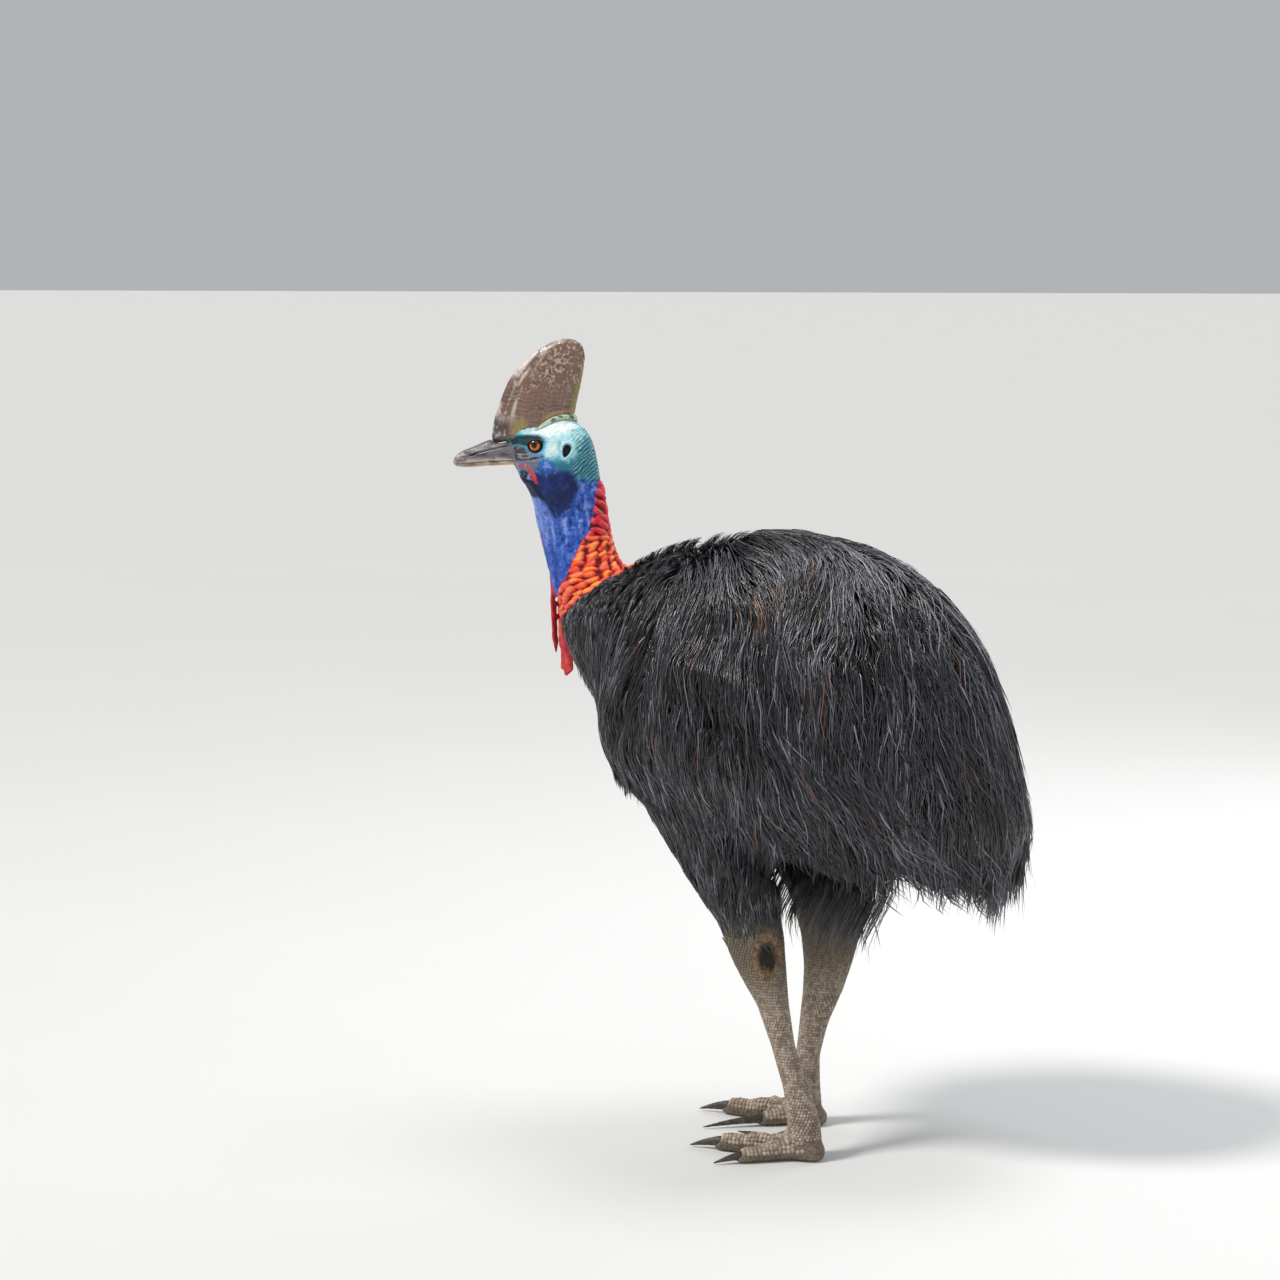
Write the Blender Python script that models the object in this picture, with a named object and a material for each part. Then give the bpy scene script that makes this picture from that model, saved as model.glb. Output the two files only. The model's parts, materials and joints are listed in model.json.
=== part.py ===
"""A standing southern cassowary, life size, as a still museum model.

Metres, +Z up, the floor at z = 0. The bird faces -Y and its left side is +X. The flesh and plumage are lofts
through ribs: each rib joins a point of the back line to a point of the belly line and has a width. Neighbouring
pieces are parted by thin cuts of GAP, so that every named part is a closed solid of its own.
"""

import math
from dataclasses import dataclass

import bmesh
import bpy
from mathutils import Matrix, Vector

# Driving sizes
GAP = 0.0003  # clearance that parts two neighbouring solids
HEAD_TURN = math.radians(15)  # the head is turned this far to the bird's left
SKULL_Y, SKULL_Z = -0.430, 1.1615  # the point of the skull that the head turns about, above the neck
HIP_X = 0.100  # each leg stands this far from the mid plane
EYE_RADIUS = 0.0150
EYE_FORWARD, EYE_UP, EYE_OUT = 0.0496, 0.0180, 0.0240  # the middle of each eyeball, from the skull point
OUTLINE_MIDDLE_Y = -0.1183  # the middle of the whole outline on the floor, which the model is centred on

# Facets
TRUNK_SIDES, NECK_SIDES, HORN_SIDES, LIMB_SIDES, TOE_SIDES, CLAW_SIDES = 26, 18, 18, 14, 8, 6

SIDES = {"left": 1, "right": -1}


@dataclass
class Rib:
    """One cross-section: it runs from the point top to the point bottom, both (y, z) in the mid plane of the piece."""

    top: tuple
    bottom: tuple
    half_width: float
    flare: float = 0.0  # above 0 the lower part is the wider one
    square: float = 2.0  # 2 is an ellipse, more is boxier
    turn: float = 0.0  # share of HEAD_TURN that the rib takes
    x: float = 0.0

    def numbers(self):
        """All of the rib's sizes in one list, so that two ribs can be blended."""
        return [*self.top, *self.bottom, self.half_width, self.flare, self.square, self.turn, self.x]

    @staticmethod
    def from_numbers(values):
        """The rib that such a list describes."""
        return Rib(tuple(values[0:2]), tuple(values[2:4]), *values[4:])


def smooth_through(rows, steps):
    """Catmull-Rom blend of the rows, with steps intervals between each two."""
    blended = []
    for i in range(len(rows) - 1):
        before, start = rows[max(i - 1, 0)], rows[i]
        end, after = rows[i + 1], rows[min(i + 2, len(rows) - 1)]
        for k in range(steps):
            t = k / steps
            blended.append(
                [
                    0.5 * (2 * b + (c - a) * t + (2 * a - 5 * b + 4 * c - d) * t * t + (3 * b - 3 * c + d - a) * t**3)
                    for a, b, c, d in zip(before, start, end, after)
                ]
            )
    blended.append(list(rows[-1]))
    return blended


def turned(point, share=1.0):
    """The point after the head's turn, about the upright line through the skull."""
    pivot = Vector((0, SKULL_Y, 0))
    return Matrix.Rotation(HEAD_TURN * share, 3, "Z") @ (Vector(point) - pivot) + pivot


def skull_point(forward, up, side=0.0):
    """A place on the head, measured forward, up and to the left of the skull point."""
    return turned((side, SKULL_Y - forward, SKULL_Z + up))


def rib_ring(rib, sides):
    """The points round one rib."""
    top, bottom = Vector((rib.x, *rib.top)), Vector((rib.x, *rib.bottom))
    ring = []
    for k in range(sides):
        angle = 2 * math.pi * k / sides
        c, s = math.cos(angle), math.sin(angle)
        down = 0.5 - 0.5 * math.copysign(abs(c) ** (2 / rib.square), c)
        out = rib.half_width * math.copysign(abs(s) ** (2 / rib.square), s) * (1 + rib.flare * (2 * down - 1))
        ring.append(turned(top.lerp(bottom, down) + Vector((out, 0, 0)), rib.turn))
    return ring


def mesh_from_rings(name, rings):
    """A closed mesh through the rings, each end closed by a fan of triangles."""
    bm = bmesh.new()
    rows = [[bm.verts.new(point) for point in ring] for ring in rings]
    sides = len(rows[0])
    for near, far in zip(rows, rows[1:]):
        for k in range(sides):
            after = (k + 1) % sides
            bm.faces.new((near[k], near[after], far[after], far[k]))
    for row in (rows[0], rows[-1]):
        middle = bm.verts.new(sum((v.co for v in row), Vector()) / sides)
        for k in range(sides):
            bm.faces.new((middle, row[k], row[(k + 1) % sides]))
    bmesh.ops.triangulate(bm, faces=bm.faces)  # so that a grown copy bends along the same edges
    bmesh.ops.recalc_face_normals(bm, faces=bm.faces)
    mesh = bpy.data.meshes.new(name)
    bm.to_mesh(mesh)
    bm.free()
    mesh.shade_smooth()
    return mesh


def place(name, mesh, material, collection):
    """Links a mesh as a named object with one material."""
    piece = bpy.data.objects.new(name, mesh)
    collection.objects.link(piece)
    if material is not None:
        mesh.materials.clear()
        mesh.materials.append(material)
    return piece


def loft(name, ribs, sides, steps, material, collection):
    """A solid through the ribs."""
    rows = smooth_through([rib.numbers() for rib in ribs], steps)
    rings = [rib_ring(Rib.from_numbers(row), sides) for row in rows]
    return place(name, mesh_from_rings(name, rings), material, collection)


def grown_copy(piece, cutters, by=GAP):
    """A hidden copy of the piece, larger by the gap, that cuts its neighbours."""
    mesh = piece.data.copy()
    bm = bmesh.new()
    bm.from_mesh(mesh)
    bm.normal_update()
    for vertex in bm.verts:
        vertex.co += vertex.normal * by * vertex.calc_shell_factor()
    bm.to_mesh(mesh)
    bm.free()
    cutter = place(f"cutter_{piece.name}", mesh, None, cutters)
    cutter.hide_render = True
    cutter.display_type = "WIRE"
    return cutter


def cut_by(piece, cutter):
    """Takes the cutter's shape out of the piece."""
    modifier = piece.modifiers.new(f"clear_of_{cutter.name}", "BOOLEAN")
    modifier.operation = "DIFFERENCE"
    modifier.object = cutter


def part_at_plane(piece, point, normal, far_name, collection):
    """Cuts the piece in two at a plane. The piece keeps the side behind the normal, the new object the other."""
    normal = Vector(normal).normalized()
    far = place(far_name, piece.data.copy(), None, collection)
    for half, sign in ((piece, 1), (far, -1)):
        bm = bmesh.new()
        bm.from_mesh(half.data)
        bmesh.ops.bisect_plane(
            bm,
            geom=[*bm.verts, *bm.edges, *bm.faces],
            plane_co=Vector(point) - normal * sign * GAP / 2,
            plane_no=normal * sign,
            clear_outer=True,
        )
        rim = [edge for edge in bm.edges if edge.is_boundary]
        bmesh.ops.contextual_create(bm, geom=rim)
        bmesh.ops.recalc_face_normals(bm, faces=bm.faces)
        bm.to_mesh(half.data)
        bm.free()
    return far


def make_material(name, colour, roughness, metallic=0.0):
    """A Principled material."""
    material = bpy.data.materials.new(name)
    material.use_nodes = True
    shader = material.node_tree.nodes["Principled BSDF"]
    shader.inputs["Base Color"].default_value = (*colour, 1)
    shader.inputs["Roughness"].default_value = roughness
    shader.inputs["Metallic"].default_value = metallic
    material.diffuse_color = (*colour, 1)
    return material


def head_ribs():
    """Ribs from the root of the bill round the skull and down the neck into the breast, as (forward, up) of the skull.

    Each row is the back line's point, the throat line's point, the half width and the share of the head's turn.
    """
    rows = (
        ((0.118, 0.026), (0.112, -0.013), 0.011, 1.0),
        ((0.100, 0.034), (0.099, -0.0185), 0.020, 1.0),
        ((0.078, 0.044), (0.087, -0.030), 0.029, 1.0),
        ((0.052, 0.055), (0.079, -0.042), 0.036, 1.0),
        ((0.022, 0.062), (0.072, -0.054), 0.041, 1.0),
        ((-0.008, 0.059), (0.065, -0.067), 0.0435, 1.0),
        ((-0.032, 0.045), (0.060, -0.081), 0.0445, 1.0),
        ((-0.046, 0.020), (0.056, -0.096), 0.044, 0.95),
        ((-0.053, -0.010), (0.053, -0.112), 0.0425, 0.88),
        ((-0.059, -0.045), (0.049, -0.130), 0.041, 0.75),
        ((-0.066, -0.086), (0.0455, -0.149), 0.040, 0.58),
        ((-0.072, -0.121), (0.041, -0.168), 0.041, 0.40),
        ((-0.080, -0.155), (0.0355, -0.188), 0.044, 0.22),
        ((-0.092, -0.180), (0.029, -0.212), 0.049, 0.08),
        ((-0.106, -0.200), (0.018, -0.240), 0.054, 0.0),
        ((-0.130, -0.218), (-0.005, -0.275), 0.050, 0.0),
    )
    return [
        Rib(
            (SKULL_Y - back[0], SKULL_Z + back[1]),
            (SKULL_Y - throat[0], SKULL_Z + throat[1]),
            half_width,
            turn=share,
        )
        for back, throat, half_width, share in rows
    ]


def trunk_ribs():
    """Ribs of the plumage from the foot of the neck to the hanging feather tips at the tail."""
    return [
        Rib((-0.322, 0.974), (-0.4405, 0.896), 0.055, 0.00, 2.0),
        Rib((-0.285, 0.996), (-0.429, 0.840), 0.086, 0.00, 2.0),
        Rib((-0.232, 1.019), (-0.389, 0.778), 0.114, 0.00, 2.0),
        Rib((-0.178, 1.033), (-0.358, 0.728), 0.137, 0.02, 2.1),
        Rib((-0.118, 1.043), (-0.341, 0.662), 0.181, 0.08, 2.2),
        Rib((-0.040, 1.046), (-0.292, 0.592), 0.216, 0.10, 2.2),
        Rib((0.045, 1.036), (-0.190, 0.524), 0.234, 0.13, 2.2),
        Rib((0.135, 1.011), (-0.065, 0.478), 0.240, 0.16, 2.2),
        Rib((0.222, 0.957), (0.050, 0.452), 0.233, 0.18, 2.2),
        Rib((0.289, 0.875), (0.155, 0.446), 0.212, 0.18, 2.2),
        Rib((0.336, 0.770), (0.236, 0.455), 0.180, 0.16, 2.2),
        Rib((0.367, 0.655), (0.302, 0.470), 0.136, 0.12, 2.1),
        Rib((0.385, 0.560), (0.352, 0.484), 0.082, 0.05, 2.0),
    ]


SKULL_CUT_UP, SKULL_CUT_NORMAL = -0.080, (0, 0.30, -1)
NECK_CUT_BACK, NECK_CUT_UP, NECK_CUT_NORMAL = 0.010, -0.140, (0, 0.35, -1)
TAIL_CUT, TAIL_CUT_NORMAL = (0, 0.318, 0.825), (0, 1, -0.30)


def make_head_and_neck(materials, solids):
    """The head and neck in one loft, parted below the skull and at the middle of the neck."""
    head = loft("head", head_ribs(), NECK_SIDES, 2, materials["blue_skin"], solids)
    below_skull = skull_point(0.0, SKULL_CUT_UP)
    neck_upper = part_at_plane(head, below_skull, SKULL_CUT_NORMAL, "neck_upper", solids)
    mid_neck = (0, SKULL_Y + NECK_CUT_BACK, SKULL_Z + NECK_CUT_UP)
    neck_lower = part_at_plane(neck_upper, mid_neck, NECK_CUT_NORMAL, "neck_lower", solids)
    neck_lower.data.materials.clear()
    neck_lower.data.materials.append(materials["red_skin"])
    return head, neck_upper, neck_lower


def make_casque(materials, solids):
    """The tall horn crest, swept back: its front edge is one long arc and its rear edge leans straight back."""
    rows = (  # front edge and rear edge, as (forward, up) of the skull, and half the thickness
        ((0.1330, 0.0160), (-0.0040, 0.0440), 0.0210),
        ((0.1335, 0.0300), (-0.0135, 0.0600), 0.0215),
        ((0.1270, 0.0600), (-0.0170, 0.0780), 0.0205),
        ((0.1180, 0.0925), (-0.0215, 0.1000), 0.0185),
        ((0.1040, 0.1250), (-0.0270, 0.1250), 0.0165),
        ((0.0800, 0.1550), (-0.0320, 0.1500), 0.0140),
        ((0.0500, 0.1815), (-0.0330, 0.1710), 0.0112),
        ((0.0220, 0.1960), (-0.0290, 0.1880), 0.0080),
        ((0.0040, 0.2010), (-0.0170, 0.1975), 0.0042),
    )
    ribs = [
        Rib((SKULL_Y - front[0], SKULL_Z + front[1]), (SKULL_Y - rear[0], SKULL_Z + rear[1]), half, turn=1.0)
        for front, rear, half in rows
    ]
    return loft("casque", ribs, HORN_SIDES, 1, materials["casque_horn"], solids)


GAPE, BILL_TIP = (0.042, -0.0045), (0.195, -0.0165)  # the ends of the mouth line, as (forward, up) of the skull


def make_bill(materials, solids, cutters, casque):
    """The bill in one loft from the gape to the hooked tip, parted along the mouth line. Returns its whole cutter."""
    rows = (  # forward, culmen, lower edge, half width
        (0.062, 0.0040, -0.0130, 0.0190),
        (0.084, 0.0200, -0.0170, 0.0225),
        (0.110, 0.0270, -0.0188, 0.0205),
        (0.137, 0.0255, -0.0198, 0.0165),
        (0.160, 0.0155, -0.0220, 0.0130),
        (0.180, 0.0075, -0.0228, 0.0098),
        (0.1925, -0.0005, -0.0210, 0.0062),
        (0.1975, -0.0080, -0.0175, 0.0030),
    )
    rings = []
    for forward, culmen, lower, half_width in rows:
        middle, reach = (culmen + lower) / 2, (culmen - lower) / 2
        ring = []
        for k in range(LIMB_SIDES):
            angle = 2 * math.pi * k / LIMB_SIDES
            out = half_width * math.copysign(abs(math.cos(angle)) ** 0.9, math.cos(angle))
            ring.append(skull_point(forward, middle + reach * math.sin(angle), out))
        rings.append(ring)
    upper = place("bill_upper", mesh_from_rings("bill_upper", rings), materials["bill_horn"], solids)
    whole_bill = grown_copy(upper, cutters)
    mouth_back, mouth_front = skull_point(*GAPE), skull_point(*BILL_TIP)
    along = (mouth_front - mouth_back).normalized()
    across = turned((1, SKULL_Y, 0)) - turned((0, SKULL_Y, 0))
    downward = along.cross(across)
    if downward.z > 0:
        downward.negate()
    part_at_plane(upper, mouth_back, downward, "bill_lower", solids)
    cut_by(upper, grown_copy(casque, cutters))
    return whole_bill


def make_eyes(materials, solids):
    """Two eyeballs, set into the sides of the head."""
    eyes = []
    for side, sign in SIDES.items():
        bm = bmesh.new()
        bmesh.ops.create_uvsphere(bm, u_segments=12, v_segments=8, radius=EYE_RADIUS)
        bmesh.ops.translate(bm, verts=bm.verts, vec=skull_point(EYE_FORWARD, EYE_UP, sign * EYE_OUT))
        mesh = bpy.data.meshes.new(f"eye_{side}")
        bm.to_mesh(mesh)
        bm.free()
        mesh.shade_smooth()
        eyes.append(place(f"eye_{side}", mesh, materials["eye"], solids))
    return eyes


@dataclass(frozen=True)
class Wattle:
    """One lobe: where it hangs from, how it swings back, its length and breadth, and how its lower end is cut."""

    side: str
    x: float
    ahead: float
    swing: float
    length: float
    breadth: float
    twist: float
    widest: float
    slant: float


WATTLES = (
    Wattle("left", 0.0130, -0.0280, 0.012, 0.158, 0.0150, 6.0, 0.67, 0.0),
    Wattle("right", -0.0130, -0.0265, 0.024, 0.197, 0.0190, 72.0, 0.88, 0.75),
)
WATTLE_STALK = 0.0048  # half the breadth of a lobe where it leaves the throat
WATTLE_THICKNESS, WATTLE_THINNING = 0.0042, 0.0008  # half the thickness at the top, and what it loses downward
WATTLE_LEVELS = 10
WATTLE_SWELLS = 0.30  # share of the length from which the lobe broadens
WATTLE_END = 0.86  # share of the length from which the lobe rounds off
WATTLE_PAST = 1.035  # where the rounding would come to a point
WATTLE_TURNED = 0.6  # share of the length by which the lobe has its whole twist
WATTLE_TOP = 0.185  # the lobes start this far below the skull point, inside the neck


def make_wattles(materials, solids):
    """Two lobes of bare skin that hang side by side from the throat: thin at the top, broad and flat below."""
    top_z = SKULL_Z - WATTLE_TOP
    wattles = []
    for lobe in WATTLES:
        rings = []
        for i in range(WATTLE_LEVELS + 1):
            t = i / WATTLE_LEVELS
            broadened = max(0.0, (t - WATTLE_SWELLS) / (lobe.widest - WATTLE_SWELLS))
            swell = math.sin(math.pi / 2 * min(1.9, broadened)) ** 0.8
            past_end = max(0.0, (t - WATTLE_END) / (WATTLE_PAST - WATTLE_END))
            end = max(math.sqrt(1 - past_end**2), 0.12)
            broad = (WATTLE_STALK + (lobe.breadth - WATTLE_STALK) * swell) * end
            thin = (WATTLE_THICKNESS - WATTLE_THINNING * t) * end
            turn = math.radians(lobe.twist) * min(1.0, t / WATTLE_TURNED)
            x = lobe.x * (0.55 + 0.45 * t)
            centre = Vector((x, SKULL_Y + lobe.ahead + lobe.swing * t, top_z - lobe.length * t))
            rise = lobe.slant * max(0.0, t - 0.4) / 0.6
            across = Vector((math.cos(turn), math.sin(turn), rise))
            through = Vector((-math.sin(turn), math.cos(turn), 0))
            rings.append(
                [
                    centre + across * broad * math.cos(a) + through * thin * math.sin(a)
                    for a in (2 * math.pi * k / TOE_SIDES for k in range(TOE_SIDES))
                ]
            )
        name = f"wattle_{lobe.side}"
        wattles.append(place(name, mesh_from_rings(name, rings), materials["wattle_skin"], solids))
    return wattles


WING_HALF_SIZE = (0.030, 0.105, 0.046)
WING_CENTRE = (0.221, -0.075, 0.800)
WING_DROOP, WING_TOE_IN = math.radians(-24), math.radians(-7)


def make_wings(materials, solids):
    """The small flightless wings: low lens shapes that lie along the shoulders."""
    wings = []
    for side, sign in SIDES.items():
        bm = bmesh.new()
        bmesh.ops.create_uvsphere(bm, u_segments=12, v_segments=8, radius=1.0)
        lie = Matrix.Rotation(WING_DROOP, 4, "X") @ Matrix.Diagonal((*WING_HALF_SIZE, 1))
        lie = Matrix.Rotation(sign * WING_TOE_IN, 4, "Z") @ lie
        out, y, z = WING_CENTRE
        bmesh.ops.transform(bm, verts=bm.verts, matrix=Matrix.Translation((sign * out, y, z)) @ lie)
        mesh = bpy.data.meshes.new(f"wing_{side}")
        bm.to_mesh(mesh)
        bm.free()
        mesh.shade_smooth()
        wings.append(place(f"wing_{side}", mesh, materials["plumage"], solids))
    return wings


def thigh_ribs(side):
    """Ribs of a feathered thigh, from inside the trunk down to the hock."""
    rows = {
        "left": (
            ((-0.278, 0.670), (-0.030, 0.660), 0.078),
            ((-0.247, 0.602), (-0.005, 0.575), 0.080),
            ((-0.206, 0.535), (0.004, 0.500), 0.072),
            ((-0.164, 0.467), (0.002, 0.446), 0.059),
            ((-0.120, 0.405), (0.000, 0.405), 0.045),
            ((-0.099, 0.362), (0.003, 0.374), 0.037),
        ),
        "right": (
            ((-0.250, 0.660), (0.060, 0.660), 0.082),
            ((-0.200, 0.590), (0.095, 0.570), 0.084),
            ((-0.140, 0.520), (0.112, 0.500), 0.076),
            ((-0.088, 0.455), (0.106, 0.450), 0.064),
            ((-0.058, 0.410), (0.094, 0.414), 0.052),
            ((-0.050, 0.388), (0.086, 0.394), 0.044),
        ),
    }[side]
    x = SIDES[side] * HIP_X
    lean = SIDES[side] * 0.018  # the thighs spread a little towards the hips
    count = len(rows) - 1
    return [
        Rib(front, back, half_width, square=2.1, x=x + lean * (1 - i / count))
        for i, (front, back, half_width) in enumerate(rows)
    ]


def shank_ribs(side):
    """Ribs of the bare leg: the hock, the slim tarsus and its thick foot end."""
    rows = {
        "left": (
            ((-0.099, 0.362), (0.003, 0.374), 0.0355),
            ((-0.090, 0.338), (0.005, 0.346), 0.0350),
            ((-0.066, 0.295), (0.008, 0.302), 0.0305),
            ((-0.042, 0.258), (0.011, 0.264), 0.0255),
            ((-0.016, 0.189), (0.022, 0.193), 0.0205),
            ((0.006, 0.116), (0.050, 0.121), 0.0205),
            ((0.013, 0.062), (0.068, 0.066), 0.0260),
            ((0.012, 0.026), (0.072, 0.026), 0.0290),
        ),
        "right": (
            ((-0.048, 0.388), (0.084, 0.394), 0.0410),
            ((-0.033, 0.335), (0.071, 0.342), 0.0365),
            ((-0.028, 0.285), (0.058, 0.292), 0.0310),
            ((-0.030, 0.238), (0.042, 0.244), 0.0255),
            ((-0.036, 0.178), (0.015, 0.182), 0.0205),
            ((-0.042, 0.116), (-0.001, 0.120), 0.0205),
            ((-0.053, 0.062), (0.001, 0.066), 0.0260),
            ((-0.055, 0.026), (0.004, 0.026), 0.0290),
        ),
    }[side]
    return [Rib(front, back, half_width, x=SIDES[side] * HIP_X) for front, back, half_width in rows]


@dataclass
class Digit:
    """One toe: where it points, how long it is without its claw, and its claw."""

    heading: float  # degrees outward of straight ahead
    length: float
    radius: float
    pads: int
    claw_length: float
    claw_radius: float


DIGITS = {
    "inner": Digit(-33, 0.082, 0.0165, 2, 0.095, 0.0098),
    "middle": Digit(2, 0.150, 0.0195, 3, 0.045, 0.0110),
    "outer": Digit(36, 0.112, 0.0165, 3, 0.038, 0.0095),
}
FOOT_Y = {"left": 0.040, "right": -0.024}  # where each foot's pad stands


def flat_ring(centre, forward, radius, height, sides):
    """A round section across forward, its lower part pressed flat on the floor."""
    across = Vector((forward.y, -forward.x, 0)).normalized()
    upward = across.cross(forward).normalized()
    if upward.z < 0:
        upward.negate()
    ring = []
    for k in range(sides):
        angle = 2 * math.pi * k / sides
        point = centre + across * radius * math.cos(angle) + upward * height * math.sin(angle)
        point.z = max(point.z, 0.0)
        ring.append(point)
    return ring


def make_toe(side, name, digit, materials, solids, cutters):
    """A toe with swollen pads, and the claw that grows from its end."""
    sign = SIDES[side]
    heading = math.radians(digit.heading) * sign
    forward = Vector((math.sin(heading), -math.cos(heading), 0))
    root = Vector((sign * HIP_X, FOOT_Y[side], 0)) + forward * 0.006
    rings = []
    levels = 3 * digit.pads
    for i in range(levels + 1):
        t = i / levels
        swell = 1 + 0.10 * math.cos(2 * math.pi * digit.pads * t - math.pi)
        radius = digit.radius * (1.10 - 0.38 * t) * swell
        if i == levels:
            radius *= 0.72
        height = radius * (1.15 - 0.10 * t)
        centre = root + forward * digit.length * t + Vector((0, 0, height * 0.86))
        rings.append(flat_ring(centre, forward, radius, height, TOE_SIDES))
    toe_name = f"toe_{name}_{side}"
    toe = place(toe_name, mesh_from_rings(toe_name, rings), materials["leg_scales"], solids)

    rings = []
    levels = 6
    claw_root = root + forward * (digit.length - 0.014) + Vector((0, 0, digit.radius * 0.80))
    for i in range(levels + 1):
        t = i / levels
        radius = max(digit.claw_radius * (1 - t) ** 0.75, 0.0009)
        droop = (claw_root.z - 0.0035) * t**1.6
        centre = claw_root + forward * (digit.claw_length + 0.014) * t - Vector((0, 0, droop))
        rings.append(flat_ring(centre, forward, radius * 0.82, radius, CLAW_SIDES))
    claw_name = f"claw_{name}_{side}"
    claw = place(claw_name, mesh_from_rings(claw_name, rings), materials["claw_horn"], solids)
    toe_cutter = grown_copy(toe, cutters)
    cut_by(toe, grown_copy(claw, cutters))
    return toe, toe_cutter


def make_foot(side, materials, solids, cutters):
    """The leg from the feather edge down: the shank, the pad under it and three toes, as the species has."""
    shank = loft(f"shank_{side}", shank_ribs(side), LIMB_SIDES, 1, materials["leg_scales"], solids)
    centre = Vector((SIDES[side] * HIP_X, FOOT_Y[side], 0))
    rings = []
    levels = 6
    for i in range(levels + 1):
        t = i / levels
        radius = 0.030 * math.sin(math.pi * (0.12 + 0.76 * t)) ** 0.6
        middle = centre + Vector((0, 0.036 - 0.072 * t, radius * 0.62))
        rings.append(flat_ring(middle, Vector((0, -1, 0)), radius, radius * 0.80, LIMB_SIDES))
    foot = place(f"foot_{side}", mesh_from_rings(f"foot_{side}", rings), materials["leg_scales"], solids)
    shank_cutter, foot_cutter = grown_copy(shank, cutters), grown_copy(foot, cutters)
    cut_by(foot, shank_cutter)
    middle_cutter = None
    for name in ("middle", "inner", "outer"):
        toe, toe_cutter = make_toe(side, name, DIGITS[name], materials, solids, cutters)
        cut_by(toe, foot_cutter)
        cut_by(toe, shank_cutter)
        if middle_cutter is None:
            middle_cutter = toe_cutter
        else:
            cut_by(toe, middle_cutter)
    return shank_cutter


def main():
    """Builds the bird."""
    for leftover in list(bpy.data.objects):
        bpy.data.objects.remove(leftover)
    solids = bpy.data.collections.new("cassowary")
    cutters = bpy.data.collections.new("cutters")
    bpy.context.scene.collection.children.link(solids)
    bpy.context.scene.collection.children.link(cutters)
    materials = {
        "blue_skin": make_material("blue_skin", (0.03, 0.22, 0.62), 0.45),
        "red_skin": make_material("red_skin", (0.75, 0.10, 0.03), 0.40),
        "wattle_skin": make_material("wattle_skin", (0.62, 0.05, 0.08), 0.45),
        "casque_horn": make_material("casque_horn", (0.20, 0.13, 0.09), 0.40),
        "bill_horn": make_material("bill_horn", (0.16, 0.13, 0.11), 0.45),
        "eye": make_material("eye", (0.45, 0.14, 0.02), 0.08),
        "plumage": make_material("plumage", (0.012, 0.013, 0.017), 0.40),
        "leg_scales": make_material("leg_scales", (0.23, 0.18, 0.14), 0.65),
        "claw_horn": make_material("claw_horn", (0.07, 0.06, 0.05), 0.40),
    }

    head, neck_upper, neck_lower = make_head_and_neck(materials, solids)
    casque = make_casque(materials, solids)
    cut_by(head, make_bill(materials, solids, cutters, casque))
    for neighbour in (casque, *make_eyes(materials, solids)):
        cut_by(head, grown_copy(neighbour, cutters))

    trunk = loft("trunk", trunk_ribs(), TRUNK_SIDES, 2, materials["plumage"], solids)
    whole_trunk = grown_copy(trunk, cutters)
    cut_by(neck_lower, whole_trunk)
    wings = make_wings(materials, solids)
    part_at_plane(trunk, TAIL_CUT, TAIL_CUT_NORMAL, "tail", solids)
    for wing in wings:
        cut_by(trunk, grown_copy(wing, cutters))

    neck_cutter = grown_copy(neck_lower, cutters)
    upper_neck_cutter = grown_copy(neck_upper, cutters)
    for wattle in make_wattles(materials, solids):
        cut_by(wattle, neck_cutter)
        cut_by(wattle, upper_neck_cutter)
        cut_by(wattle, whole_trunk)

    for side in SIDES:
        shank_cutter = make_foot(side, materials, solids, cutters)
        thigh = loft(f"thigh_{side}", thigh_ribs(side), LIMB_SIDES, 2, materials["plumage"], solids)
        cut_by(thigh, whole_trunk)
        cut_by(thigh, shank_cutter)

    for piece in bpy.data.objects:
        piece.location.y = -OUTLINE_MIDDLE_Y


main()
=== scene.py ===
"""The looks of a standing southern cassowary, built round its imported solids.

One skin runs over all the flesh, from the blue head to the scaled toes. Over it lie the coat of long
hair-like feathers and the scales of the legs. The casque, bill, eyes and claws are horn or wet pieces of
their own. Metres, +Z up; the bird faces -Y and its left side is +X.
"""

import json
import logging
import math
from dataclasses import dataclass, field
from enum import Enum
from itertools import product
from typing import Any, Callable, Iterable, Optional, Sequence, Union

import bmesh
import bpy
import numpy as np
from mathutils import Matrix, Vector
from mathutils.bvhtree import BVHTree

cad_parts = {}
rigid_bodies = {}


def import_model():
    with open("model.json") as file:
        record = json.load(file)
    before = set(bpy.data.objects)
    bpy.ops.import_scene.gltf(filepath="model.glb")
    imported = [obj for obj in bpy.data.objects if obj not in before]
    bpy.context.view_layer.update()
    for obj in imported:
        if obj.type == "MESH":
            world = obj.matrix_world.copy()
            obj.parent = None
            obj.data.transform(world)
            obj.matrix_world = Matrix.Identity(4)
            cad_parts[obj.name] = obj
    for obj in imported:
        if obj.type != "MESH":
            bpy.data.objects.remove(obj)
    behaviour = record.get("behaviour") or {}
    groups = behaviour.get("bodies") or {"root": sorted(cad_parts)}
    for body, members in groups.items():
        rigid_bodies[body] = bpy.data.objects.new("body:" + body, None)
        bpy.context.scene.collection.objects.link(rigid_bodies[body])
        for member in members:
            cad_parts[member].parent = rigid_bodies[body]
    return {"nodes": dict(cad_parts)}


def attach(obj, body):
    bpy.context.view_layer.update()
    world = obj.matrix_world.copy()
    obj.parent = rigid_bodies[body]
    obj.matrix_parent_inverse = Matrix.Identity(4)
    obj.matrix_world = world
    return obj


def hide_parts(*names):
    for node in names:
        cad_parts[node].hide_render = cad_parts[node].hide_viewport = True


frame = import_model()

logging.basicConfig(level=logging.INFO, format="%(message)s")
log = logging.getLogger("cassowary")

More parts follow.
